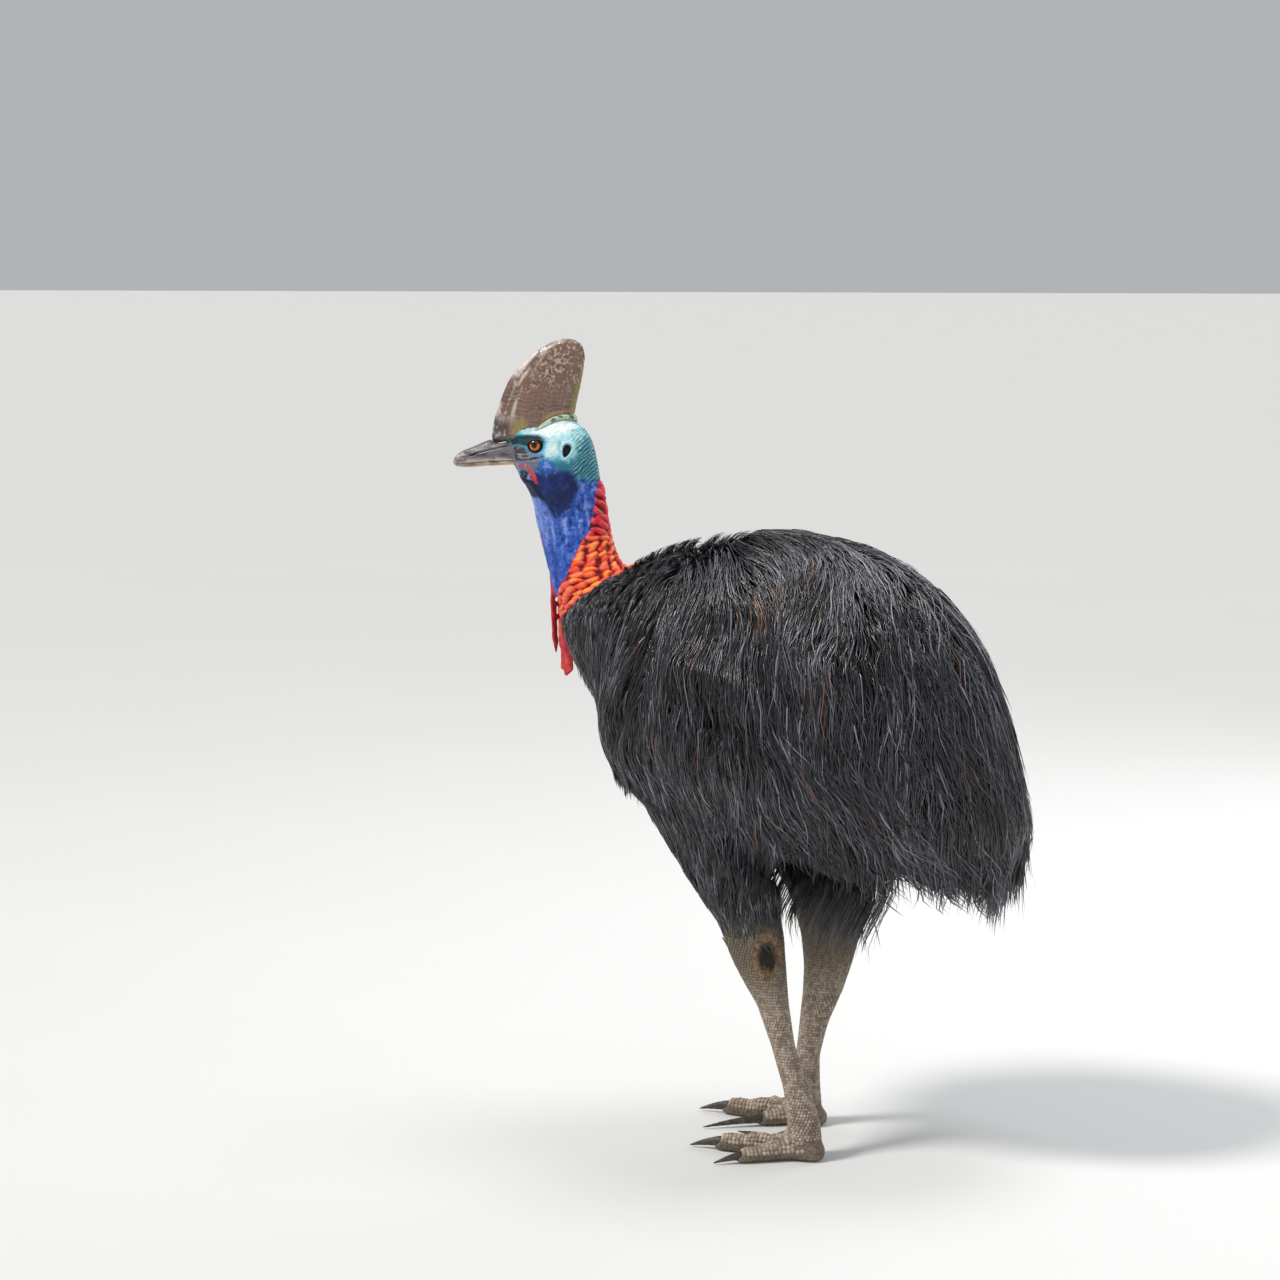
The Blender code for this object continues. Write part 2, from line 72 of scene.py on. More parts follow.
Colour = tuple[float, float, float]
Array = np.ndarray


class Side(Enum):
    """The two sides of the bird, with the sign of X on each."""

    LEFT = 1
    RIGHT = -1

    @property
    def label(self) -> str:
        """The side's word in a node's name."""
        return self.name.lower()


# Measures shared by several pieces


@dataclass(frozen=True)
class HeadFrame:
    """Places on the head, told as forward, up and to the left of a point in the skull, after its turn."""

    pivot: tuple[float, float, float] = (0.0, -0.3117, 1.1615)
    turn: float = math.radians(15)

    def world(self, forward: float, up: float, side: float = 0.0) -> Vector:
        """The world place of a point told on the head."""
        s, c = math.sin(self.turn), math.cos(self.turn)
        offset = (side * c + forward * s, side * s - forward * c, up)
        return Vector(self.pivot) + Vector(offset)

    def local(self, points: Array, share: Optional[Array] = None) -> Array:
        """Forward, up and side of world points.

        Args:
            points: World places, one per row.
            share: How much of the head's turn each point takes. All of it if left out.

        Returns:
            One row of forward, up and side for each point.
        """
        d = points - np.array(self.pivot)
        angle = self.turn * (1.0 if share is None else share)
        s, c = np.sin(angle), np.cos(angle)
        return np.stack([d[:, 0] * s - d[:, 1] * c, d[:, 2], d[:, 0] * c + d[:, 1] * s], axis=1)


@dataclass(frozen=True)
class NeckChart:
    """A flat chart of the neck: the angle round it from the nape, and the height below the skull."""

    back_up: tuple[float, ...] = (-0.26, -0.200, -0.180, -0.155, -0.121, -0.086, -0.045, -0.010, 0.020)
    back: tuple[float, ...] = (-0.135, -0.106, -0.092, -0.080, -0.072, -0.066, -0.059, -0.053, -0.046)
    front_up: tuple[float, ...] = (-0.26, -0.240, -0.212, -0.188, -0.168, -0.149, -0.130, -0.112, -0.096)
    front: tuple[float, ...] = (0.012, 0.018, 0.029, 0.0355, 0.041, 0.0455, 0.049, 0.053, 0.056)
    turn_up: tuple[float, ...] = (-0.22, -0.196, -0.1715, -0.1445, -0.1175, -0.0875, -0.060, -0.040)
    turn_share: tuple[float, ...] = (0.0, 0.08, 0.22, 0.40, 0.58, 0.75, 0.88, 1.0)

    def read(self, head: HeadFrame, points: Array) -> tuple[Array, Array, Array, Array]:
        """Places the points on the chart.

        Args:
            head: The head's frame.
            points: World places, one per row.

        Returns:
            The angle from the nape in radians, signed by side, the height, the radius there, and the places
            told on the head.
        """
        up = points[:, 2] - head.pivot[2]
        local = head.local(points, np.interp(up, self.turn_up, self.turn_share))
        back = np.interp(up, self.back_up, self.back)
        front = np.interp(up, self.front_up, self.front)
        middle, reach = (back + front) / 2, np.maximum((front - back) / 2, 0.02)
        angle = np.arctan2(local[:, 2] / 0.043, -(local[:, 0] - middle) / reach)
        return angle, up, reach, local


HEAD = HeadFrame()
NECK = NeckChart()


# Numbers over many points


def smooth_step(low: float, high: float, values: Array) -> Array:
    """0 below low, 1 above high, and an even curve between; low may be the larger."""
    t = np.clip((values - low) / (high - low), 0.0, 1.0)
    return t * t * (3 - 2 * t)


def bell(values: Array, width: float) -> Array:
    """1 at zero, falling off evenly on both sides over about the width."""
    return np.exp(-((values / width) ** 2))


def scramble(cells: Array, seed: int) -> Array:
    """A fixed random number from 0 to 1 for each whole-numbered cell."""
    mixed = cells[:, 0] * 73856093 ^ cells[:, 1] * 19349663 ^ cells[:, 2] * 83492791 ^ (seed * 2654435761)
    mixed = ((mixed ^ (mixed >> 13)) * 1274126177) & 0x7FFFFFFF
    mixed = ((mixed ^ (mixed >> 15)) * 668265263) & 0x7FFFFFFF
    return mixed / float(0x7FFFFFFF)


def ripple(points: Array, size: float, seed: int = 1) -> Array:
    """Smooth irregular variation from -1 to 1 over the points, with features about size across."""
    scaled = points / size
    base = np.floor(scaled).astype(np.int64)
    t = scaled - base
    t = t * t * (3 - 2 * t)
    total = np.zeros(len(points))
    for corner in product((0, 1), repeat=3):
        weight = np.prod(np.where(np.array(corner) == 1, t, 1 - t), axis=1)
        total += weight * scramble(base + np.array(corner), seed)
    return total * 2 - 1


class Wash:
    """Colours, one per vertex, that are painted over one another."""

    def __init__(self, colour: Colour, count: int) -> None:
        """Starts with one colour all over."""
        self.colours = np.tile(np.array(colour), (count, 1))

    def over(self, colour: Union[Colour, Array], mask: Array) -> None:
        """Moves the colours towards one colour, or towards one per vertex, by the mask."""
        self.colours = self.colours + (np.array(colour) - self.colours) * np.clip(mask, 0, 1)[:, None]


def way_to_line(points: Array, line: Sequence[Sequence[float]]) -> Array:
    """The distance from each point to a bent line, both in as many axes as the line has."""
    best = np.full(len(points), np.inf)
    for start, end in zip(line, line[1:]):
        a, along = np.array(start), np.array(end) - np.array(start)
        t = np.clip((points - a) @ along / (along @ along), 0, 1)
        best = np.minimum(best, np.linalg.norm(points - a - t[:, None] * along, axis=1))
    return best


def within(points: Array, outline: Sequence[tuple[float, float]], soft: float) -> Array:
    """1 inside a flat outline and 0 outside it, blended over soft on both sides of its edge."""
    corners = list(outline)
    inside = np.zeros(len(points), bool)
    for (x0, y0), (x1, y1) in zip(corners, corners[1:] + corners[:1]):
        crosses = (y0 > points[:, 1]) != (y1 > points[:, 1])
        reach = x0 + (points[:, 1] - y0) * (x1 - x0) / ((y1 - y0) or 1e-9)
        inside ^= crosses & (points[:, 0] < reach)
    distance = way_to_line(points, [*corners, corners[0]])
    return smooth_step(-soft, soft, np.where(inside, distance, -distance))


# Working on objects and meshes


def only_select(*objects: bpy.types.Object) -> None:
    """Deselects everything, then selects these and makes the first one active."""
    if bpy.context.mode != "OBJECT":
        bpy.ops.object.mode_set(mode="OBJECT")
    for piece in bpy.context.view_layer.objects:
        piece.select_set(False)
    for piece in objects:
        piece.select_set(True)
    bpy.context.view_layer.objects.active = objects[0]


def node_copy(node: str, name: str) -> bpy.types.Object:
    """A free copy of a CAD node with its loose triangles merged.

    Args:
        node: The CAD node.
        name: What the copy is called.

    Returns:
        The new object, at the origin.
    """
    mesh = frame["nodes"][node].data.copy()
    mesh.name = name
    mesh.materials.clear()
    piece = bpy.data.objects.new(name, mesh)
    bpy.context.scene.collection.objects.link(piece)
    bm = bmesh.new()
    bm.from_mesh(mesh)
    bmesh.ops.remove_doubles(bm, verts=bm.verts, dist=2e-6)
    bm.to_mesh(mesh)
    bm.free()
    return piece


def finish_modifier(piece: bpy.types.Object, kind: str, **settings: Any) -> None:
    """Adds a modifier, sets it and applies it.

    Args:
        piece: The object.
        kind: Blender's name for the modifier's type.
        **settings: The modifier's settings.
    """
    only_select(piece)
    modifier = piece.modifiers.new(kind.lower(), kind)
    for key, value in settings.items():
        setattr(modifier, key, value)
    bpy.ops.object.modifier_apply(modifier=modifier.name)


def join_all(pieces: Sequence[bpy.types.Object], name: str) -> bpy.types.Object:
    """Joins the objects into one of that name."""
    only_select(*pieces)
    bpy.ops.object.join()
    joined = bpy.context.view_layer.objects.active
    joined.name = name
    joined.data.name = name
    return joined


def add_ball(centre: Sequence[float], radii: Sequence[float], turn: float = 0.0) -> bpy.types.Object:
    """A ball stretched to three radii, used to fill flesh in where solids were cut apart.

    Args:
        centre: Its middle.
        radii: Its reach along X, Y and Z before the turn.
        turn: Its turn about Z.

    Returns:
        The ball, with its place in its mesh.
    """
    only_select(next(iter(frame["nodes"].values())))
    bpy.ops.object.select_all(action="DESELECT")
    bpy.ops.mesh.primitive_uv_sphere_add(segments=32, ring_count=20, radius=1.0, location=(0, 0, 0))
    ball = bpy.context.view_layer.objects.active
    matrix = Matrix.Translation(Vector(centre)) @ Matrix.Rotation(turn, 4, "Z") @ Matrix.Diagonal((*radii, 1))
    ball.data.transform(matrix)
    return ball


def loft_through(name: str, rings: Sequence[Sequence[Vector]]) -> bpy.types.Object:
    """A closed piece through rings of points, each end closed by a fan."""
    bm = bmesh.new()
    rows = [[bm.verts.new(point) for point in ring] for ring in rings]
    for near, far in zip(rows, rows[1:]):
        for k in range(len(near)):
            after = (k + 1) % len(near)
            bm.faces.new((near[k], near[after], far[after], far[k]))
    for row in (rows[0], rows[-1]):
        bm.faces.new(row)
    bmesh.ops.recalc_face_normals(bm, faces=bm.faces)
    mesh = bpy.data.meshes.new(name)
    bm.to_mesh(mesh)
    bm.free()
    piece = bpy.data.objects.new(name, mesh)
    bpy.context.scene.collection.objects.link(piece)
    return piece


def places_of(mesh: bpy.types.Mesh) -> Array:
    """The mesh's vertex places, one per row."""
    flat = np.empty(len(mesh.vertices) * 3, np.float32)
    mesh.vertices.foreach_get("co", flat)
    return flat.reshape(-1, 3).astype(np.float64)


def set_places(mesh: bpy.types.Mesh, places: Array) -> None:
    """Moves the mesh's vertices to new places."""
    mesh.vertices.foreach_set("co", places.astype(np.float32).ravel())
    mesh.update()


def normals_of(mesh: bpy.types.Mesh) -> Array:
    """The mesh's vertex normals, one per row."""
    flat = np.empty(len(mesh.vertices) * 3, np.float32)
    mesh.vertex_normals.foreach_get("vector", flat)
    return flat.reshape(-1, 3).astype(np.float64)


def relax(mesh: bpy.types.Mesh, rounds: int, amount: float, weight: Optional[Array] = None) -> None:
    """Moves each vertex towards the mean of its neighbours, which takes voxel steps out.

    Args:
        mesh: The mesh.
        rounds: How many times.
        amount: How far towards the mean each time.
        weight: How much each vertex takes part. All fully if left out.
    """
    edges = np.empty(len(mesh.edges) * 2, np.int32)
    mesh.edges.foreach_get("vertices", edges)
    edges = edges.reshape(-1, 2)
    places = places_of(mesh)
    count = np.bincount(edges.ravel(), minlength=len(places))[:, None]
    share = amount if weight is None else (amount * weight)[:, None]
    for _ in range(rounds):
        total = np.zeros_like(places)
        for axis in range(3):
            total[:, axis] = np.bincount(edges[:, 0], places[edges[:, 1], axis], len(places)) + np.bincount(
                edges[:, 1], places[edges[:, 0], axis], len(places)
            )
        places += (total / np.maximum(count, 1) - places) * share
    set_places(mesh, places)


def keep_values(mesh: bpy.types.Mesh, name: str, values: Array) -> None:
    """Stores one number or one colour per vertex under a name that materials read."""
    if values.ndim == 1:
        mesh.attributes.new(name, "FLOAT", "POINT").data.foreach_set("value", values.astype(np.float32))
    else:
        rgba = np.concatenate([values, np.ones((len(values), 1))], axis=1).astype(np.float32)
        mesh.attributes.new(name, "FLOAT_COLOR", "POINT").data.foreach_set("color", rgba.ravel())


def keep_vectors(mesh: bpy.types.Mesh, name: str, values: Array) -> None:
    """Stores one vector per vertex under a name that materials read."""
    stored = mesh.attributes.new(name, "FLOAT_VECTOR", "POINT")
    stored.data.foreach_set("vector", values.astype(np.float32).ravel())


def subdivide_where(piece: bpy.types.Object, wanted: Callable[[Array], Array]) -> None:
    """Splits the faces whose middles are wanted into four.

    Args:
        piece: The object.
        wanted: Takes places, one per row, and says which are in.
    """
    mesh = piece.data
    middles = np.empty(len(mesh.polygons) * 3, np.float32)
    mesh.polygons.foreach_get("center", middles)
    chosen = wanted(middles.reshape(-1, 3).astype(np.float64))
    only_select(piece)
    mesh.vertices.foreach_set("select", np.zeros(len(mesh.vertices), bool))
    mesh.edges.foreach_set("select", np.zeros(len(mesh.edges), bool))
    mesh.polygons.foreach_set("select", chosen)
    bpy.ops.object.mode_set(mode="EDIT")
    bpy.ops.mesh.select_mode(type="FACE")
    bpy.ops.mesh.subdivide(number_cuts=1, smoothness=0.0)
    bpy.ops.object.mode_set(mode="OBJECT")


def mesh_from_triangles(name: str, places: Array, triangles: Array) -> bpy.types.Object:
    """A smooth-shaded object from vertex places and triangles, linked to the scene."""
    mesh = bpy.data.meshes.new(name)
    mesh.vertices.add(len(places))
    mesh.vertices.foreach_set("co", places.astype(np.float32).ravel())
    mesh.loops.add(len(triangles) * 3)
    mesh.loops.foreach_set("vertex_index", triangles.astype(np.int32).ravel())
    mesh.polygons.add(len(triangles))
    mesh.polygons.foreach_set("loop_start", np.arange(0, len(triangles) * 3, 3, dtype=np.int32))
    mesh.update(calc_edges=True)
    mesh.shade_smooth()
    piece = bpy.data.objects.new(name, mesh)
    bpy.context.scene.collection.objects.link(piece)
    return piece


def tree_of(*pieces: bpy.types.Object) -> BVHTree:
    """A search tree over the faces of the objects."""
    points: list[Vector] = []
    faces: list[list[int]] = []
    for piece in pieces:
        start = len(points)
        points.extend(v.co.copy() for v in piece.data.vertices)
        faces.extend([start + i for i in face.vertices] for face in piece.data.polygons)
    return BVHTree.FromPolygons(points, faces)


def distances_to(tree: BVHTree, places: Array, reach: float) -> Array:
    """The distance from each place to the tree's surface, or reach where it is farther."""
    found = np.full(len(places), reach)
    for i, place in enumerate(places):
        distance = tree.find_nearest(Vector(place), reach)[3]
        if distance is not None:
            found[i] = distance
    return found


def dress(piece: bpy.types.Object, material: bpy.types.Material, slot: str, *nodes: str) -> bpy.types.Object:
    """Gives a finished piece its material and its place in the frame, and reports it.

    Args:
        piece: The finished piece.
        material: Its material.
        slot: Not used.
        *nodes: The CAD nodes that it stands for.

    Returns:
        The same piece.
    """
    piece.data.materials.clear()
    piece.data.materials.append(material)
    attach(piece, "root")
    if nodes:
        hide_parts(*nodes)
    triangles = sum(len(face.vertices) - 2 for face in piece.data.polygons)
    log.info("%-26s %7d triangles", piece.name, triangles)
    return piece


# Shader maths


class Wire:
    """A value in a material, on which Python's operators add Math nodes."""

    def __init__(self, weave: "Weave", socket: bpy.types.NodeSocket) -> None:
        """Wraps an output socket."""
        self.weave = weave
        self.socket = socket

    def _math(self, operation: str, *values: Any) -> "Wire":
        """One Math node on the values."""
        inputs = {i: value for i, value in enumerate(values)}
        return self.weave.node("ShaderNodeMath", {"operation": operation}, inputs)

    def __add__(self, other: Any) -> "Wire":
        """self + other."""
        return self._math("ADD", self, other)

    def __radd__(self, other: Any) -> "Wire":
        """other + self."""
        return self._math("ADD", other, self)

    def __sub__(self, other: Any) -> "Wire":
        """self - other."""
        return self._math("SUBTRACT", self, other)

    def __rsub__(self, other: Any) -> "Wire":
        """other - self."""
        return self._math("SUBTRACT", other, self)

    def __mul__(self, other: Any) -> "Wire":
        """self * other."""
        return self._math("MULTIPLY", self, other)

    def __rmul__(self, other: Any) -> "Wire":
        """other * self."""
        return self._math("MULTIPLY", other, self)

    def __pow__(self, other: float) -> "Wire":
        """self to a power."""
        return self._math("POWER", self, other)


class Weave:
    """A material under construction: one Principled shader and the nodes that feed it."""

    def __init__(self, name: str) -> None:
        """Starts an empty material of that name."""
        self.material = bpy.data.materials.new(name)
        self.material.use_nodes = True
        self.tree = self.material.node_tree
        self.shader = next(n for n in self.tree.nodes if n.type == "BSDF_PRINCIPLED")

    def node(self, kind: str, settings: dict[str, Any], inputs: dict[Any, Any], out: Any = 0) -> Wire:
        """Adds one node.

        Args:
            kind: The node's type.
            settings: Its properties, which are set before its sockets; a ramp's stops come as "stops".
            inputs: Socket name or number to a value or a Wire.
            out: The output that is wanted.

        Returns:
            The wanted output.
        """
        made = self.tree.nodes.new(kind)
        for key, value in settings.items():
            if key == "stops":
                self._set_stops(made.color_ramp, value)
            else:
                setattr(made, key, value)
        for key, value in inputs.items():
            self._feed(made.inputs[key], value)
        return Wire(self, made.outputs[out])

    def _set_stops(self, ramp: bpy.types.ColorRamp, stops: Sequence[tuple[float, Colour]]) -> None:
        """Puts the stops on a ramp."""
        while len(ramp.elements) < len(stops):
            ramp.elements.new(0.5)
        for element, (position, colour) in zip(ramp.elements, stops):
            element.position = position
            element.color = (*colour, 1.0)

    def _feed(self, socket: bpy.types.NodeSocket, value: Any) -> None:
        """Links or sets one socket."""
        if isinstance(value, Wire):
            self.tree.links.new(value.socket, socket)
        elif isinstance(value, tuple) and len(value) == 3 and socket.type == "RGBA":
            socket.default_value = (*value, 1.0)
        else:
            socket.default_value = value

    def where(self) -> Wire:
        """The place in the object."""
        return self.node("ShaderNodeTexCoord", {}, {}, "Object")

    def value_of(self, name: str) -> Wire:
        """A number stored per vertex."""
        return self.node("ShaderNodeAttribute", {"attribute_name": name}, {}, "Fac")

    def colour_of(self, name: str) -> Wire:
        """A colour stored per vertex."""
        return self.node("ShaderNodeAttribute", {"attribute_name": name}, {}, "Color")

    def vector_of(self, name: str) -> Wire:
        """A vector stored per vertex."""
        return self.node("ShaderNodeAttribute", {"attribute_name": name}, {}, "Vector")

    def part_of(self, vector: Wire, axis: int) -> Wire:
        """One of the three numbers of a vector."""
        return self.node("ShaderNodeSeparateXYZ", {}, {0: vector}, axis)

    def stretched(self, vector: Wire, scale: tuple[float, float, float]) -> Wire:
        """The vector scaled along each axis."""
        return self.node("ShaderNodeMapping", {}, {"Vector": vector, "Scale": scale})

    def grain(self, vector: Wire, scale: float, detail: float = 3.0, rough: float = 0.55) -> Wire:
        """Noise from 0 to 1."""
        inputs = {"Vector": vector, "Scale": scale, "Detail": detail, "Roughness": rough}
        return self.node("ShaderNodeTexNoise", {}, inputs, 0)

    def pebbles(self, vector: Wire, scale: float, kind: str = "F1") -> Wire:
        """Distance to the nearest point of an irregular cell pattern."""
        return self.node("ShaderNodeTexVoronoi", {"feature": kind}, {"Vector": vector, "Scale": scale}, 0)

    def mask(self, value: Wire, low: float, high: float) -> Wire:
        """0 below low and 1 above high, smooth between."""
        settings = {"interpolation_type": "SMOOTHSTEP"}
        return self.node("ShaderNodeMapRange", settings, {0: value, 1: low, 2: high, 3: 0.0, 4: 1.0})

    def mix(self, amount: Any, first: Any, second: Any) -> Wire:
        """A colour between two."""
        settings = {"data_type": "RGBA", "clamp_factor": True}
        return self.node("ShaderNodeMix", settings, {0: amount, 6: first, 7: second}, 2)

    def shade(self, colour: Wire, value: float, saturation: float = 1.0) -> Wire:
        """The colour made darker or lighter and greyer or richer."""
        return self.node(
            "ShaderNodeHueSaturation", {}, {"Saturation": saturation, "Value": value, "Color": colour}
        )

    def bump(self, height: Wire, depth: float, under: Optional[Wire] = None) -> Wire:
        """A normal bent by the height, where depth is the real height of 1."""
        inputs: dict[Any, Any] = {"Height": height, "Distance": depth, "Strength": 1.0}
        if under is not None:
            inputs["Normal"] = under
        return self.node("ShaderNodeBump", {}, inputs)

    def done(self, **sockets: Any) -> bpy.types.Material:
        """Feeds the shader and returns the material; a socket's spaces are written as underscores."""
        for key, value in sockets.items():
            self._feed(self.shader.inputs[key.replace("_", " ")], value)
        return self.material


# Finishes


@dataclass(frozen=True)
class SkinFinish:
    """Bare skin, painted per vertex, with pebbles, painted shade in the gaps between them, fine creases and a
    soft shine in the material.
    """

    pebble_size: float = 0.0030
    crease_size: float = 0.0024

    def material(self) -> bpy.types.Material:
        """The skin's material."""
        w = Weave("bare_skin")
        at = w.where()
        tint = w.colour_of("tint")
        gloss = w.value_of("gloss")
        coarse = w.value_of("coarse")
        patches = w.grain(at, 95.0, 4.0, 0.6)
        specks = w.grain(at, 620.0, 2.0, 0.5)
        pebble = w.pebbles(at, 1 / self.pebble_size, "SMOOTH_F1")
        crease = w.pebbles(w.stretched(at, (1.0, 1.0, 0.55)), 1 / self.crease_size, "DISTANCE_TO_EDGE")
        dark = w.shade(tint, 0.42, 1.10)
        light = w.shade(tint, 1.35, 0.84)
        valley = w.mask(pebble, 0.30, 0.75)
        base = w.mix(w.mask(patches, 0.30, 0.72) * 0.5, tint, light)
        # Painted shade: the tint darkens in the gaps between the pebbles, most on coarse skin.
        base = w.mix(valley * (0.12 + coarse * 0.60), base, dark)
        base = w.mix(w.mask(specks, 0.56, 0.74) * 0.25, base, dark)
        height = (1 - valley) * (0.35 + coarse) + w.mask(crease, 0.0, 0.16) * 0.30 + specks * 0.20
        rough = 0.62 - gloss * 0.30 + patches * 0.08
        return w.done(
            Base_Color=base,
            Roughness=rough,
            Normal=w.bump(height, 0.0006),
            Specular_IOR_Level=0.30,
            Subsurface_Weight=0.05,
            Subsurface_Radius=(0.006, 0.003, 0.002),
            Subsurface_Scale=0.5,
        )


@dataclass(frozen=True)
class PlumeFinish:
    """The coat: near-black feathers with a cool sheen, partly a painted glint on the lightest strands, a few
    of them worn to brown.
    """

    black: Colour = (0.0080, 0.0082, 0.0105)
    grey: Colour = (0.090, 0.090, 0.110)
    silver: Colour = (0.290, 0.290, 0.340)
    rust: Colour = (0.170, 0.070, 0.034)

    def material(self) -> bpy.types.Material:
        """The coat's material."""
        w = Weave("plumage")
        tone = w.value_of("tone")
        broad = w.grain(w.where(), 9.0, 2.0)
        base = w.mix(w.mask(tone + broad * 0.25, 0.35, 1.05), self.black, self.grey)
        # Painted glint: the lightest strands turn pale grey.
        base = w.mix(w.mask(tone + broad * 0.20, 0.86, 1.06) * 0.75, base, self.silver)
        base = w.mix(w.mask(tone, 1.02, 1.10), base, self.rust)
        return w.done(Base_Color=base, Roughness=0.23 + broad * 0.12, Specular_IOR_Level=0.95)


@dataclass(frozen=True)
class HornFinish:
    """Horn painted per vertex, with streaks along its growth, fine flakes and a satin shine."""

    name: str
    streaks: float
    flakes: float
    rough: float
    shine: float
    depth: float

    def material(self) -> bpy.types.Material:
        """The horn's material."""
        w = Weave(self.name)
        tint = w.colour_of("tint")
        streak = w.grain(w.vector_of("flow"), self.streaks, 5.0, 0.65)
        flake = w.grain(w.where(), self.flakes, 4.0, 0.65)
        base = w.mix(w.mask(streak, 0.40, 0.66) * 0.55, tint, w.shade(tint, 0.50))
        base = w.mix(w.mask(flake, 0.53, 0.68) * 0.50, base, w.shade(tint, 1.55, 0.80))
        base = w.mix(w.mask(1 - flake, 0.56, 0.70) * 0.45, base, w.shade(tint, 0.45))
        height = streak * 0.7 + flake * 0.5
        return w.done(
            Base_Color=base,
            Roughness=self.rough + flake * 0.18,
            Normal=w.bump(height, self.depth),
            Coat_Weight=self.shine,
        )


@dataclass(frozen=True)
class EyeFinish:
    """A wet eye: black pupil, orange iris with rays, darker above under painted shade and darker at its rim,
    and a dark white.
    """

    pupil: float = 0.33
    iris: float = 0.70

    def material(self) -> bpy.types.Material:
        """The eye's material, which reads the angle from the eye's axis."""
        w = Weave("eye")
        angle = w.value_of("angle")
        ray = w.vector_of("ray")
        rays = w.grain(w.stretched(ray, (7.0, 7.0, 1.0)), 1.6, 3.0)
        iris = w.mix(w.mask(rays, 0.32, 0.66), (0.40, 0.070, 0.004), (0.98, 0.27, 0.020))
        # Painted shade from the upper lid over the top of the iris.
        iris = w.mix(w.mask(w.part_of(ray, 1), -0.05, 0.60) * 0.90, iris, (0.050, 0.014, 0.006))
        iris = w.mix(w.mask(angle, self.iris - 0.12, self.iris), iris, (0.060, 0.016, 0.008))
        base = w.mix(w.mask(angle, self.pupil - 0.02, self.pupil + 0.015), (0.002, 0.002, 0.002), iris)
        base = w.mix(w.mask(angle, self.iris - 0.01, self.iris + 0.03), base, (0.010, 0.009, 0.010))
        return w.done(
            Base_Color=base, Roughness=0.10, Specular_IOR_Level=0.25, Coat_Weight=0.45, Coat_Roughness=0.02
        )


@dataclass(frozen=True)
class ScaleFinish:
    """Dry horny scales: dusty taupe below, olive-brown up by the feathers."""

    brown: Colour = (0.240, 0.185, 0.140)
    dust: Colour = (0.520, 0.425, 0.335)
    olive: Colour = (0.105, 0.088, 0.050)
    gap: Colour = (0.060, 0.046, 0.036)

    def material(self) -> bpy.types.Material:
        """The scales' material, in which each scale has a slight tone of its own."""
        w = Weave("leg_scales")
        at = w.where()
        tone = w.value_of("tone")
        dirt = w.grain(at, 60.0, 5.0, 0.62)
        fine = w.grain(at, 700.0, 3.0, 0.6)
        base = w.mix(w.mask(tone * 0.30 + dirt * 0.80, 0.36, 0.80), self.brown, self.dust)
        high = w.mask(w.part_of(at, 2) + dirt * 0.10, 0.27, 0.40)
        base = w.mix(high * 0.85, base, self.olive)
        base = w.mix(w.mask(fine, 0.53, 0.70) * 0.5, base, self.gap)
        return w.done(Base_Color=base, Roughness=0.58 + dirt * 0.22, Normal=w.bump(fine, 0.0003))


@dataclass(frozen=True)
class ClawFinish:
    """Smooth dark horn with faint lines along it, paler and chipped at the point."""

    def material(self) -> bpy.types.Material:
        """The claws' material."""
        w = Weave("claw_horn")
        at = w.where()
        lines = w.grain(w.stretched(at, (2.4, 0.35, 2.4)), 260.0, 4.0, 0.6)
        dust = w.grain(at, 80.0, 4.0)
        base = w.mix(w.mask(lines, 0.3, 0.7), (0.022, 0.018, 0.015), (0.075, 0.060, 0.048))
        base = w.mix(w.mask(dust, 0.52, 0.72) * 0.55, base, (0.22, 0.18, 0.14))
        return w.done(Base_Color=base, Roughness=0.34 + dust * 0.3, Normal=w.bump(lines, 0.0003))


# The bird


FLESH_NODES = (
    "head",
    "neck_upper",
    "neck_lower",
    "wattle_left",
    "wattle_right",
    "trunk",
    *(f"{part}_{side.label}" for side in Side for part in ("thigh", "shank", "foot")),
    *(f"toe_{digit}_{side.label}" for side in Side for digit in ("inner", "middle", "outer")),
)


# Lines on the side of the head, as forward and up of the skull point

COLLAR_EDGE = (
    (-0.018, 0.063), (-0.013, 0.070), (0.004, 0.071), (0.018, 0.068), (0.031, 0.062), (0.048, 0.051),
    (0.059, 0.052), (0.071, 0.049), (0.086, 0.043), (0.093, 0.032), (0.099, 0.018),
)  # fmt: skip
# The fold along the back of the collar: forward, up, out to the side and thickness
CUFF = (
    (0.050, 0.049, 0.022, 0.0010), (0.040, 0.054, 0.022, 0.0020), (0.031, 0.059, 0.021, 0.0028),
    (0.018, 0.065, 0.019, 0.0034), (0.004, 0.068, 0.015, 0.0037), (-0.008, 0.067, 0.011, 0.0037),
    (-0.015, 0.066, 0.005, 0.0035), (-0.018, 0.065, 0.000, 0.0034),
)  # fmt: skip
MOUTH_FORWARD, MOUTH_UP = (0.040, 0.060, 0.100), (-0.0030, -0.0062, -0.0098)
THROAT_FOLD = ((0.074, -0.040), (0.054, -0.046), (0.036, -0.070), (0.018, -0.094), (0.010, -0.106))
SHIELD = (
    (0.056, -0.034), (0.054, -0.046), (0.018, -0.094), (0.007, -0.100), (-0.013, -0.088),
    (-0.026, -0.049), (-0.018, -0.030), (0.013, -0.021), (0.040, -0.022),
)  # fmt: skip


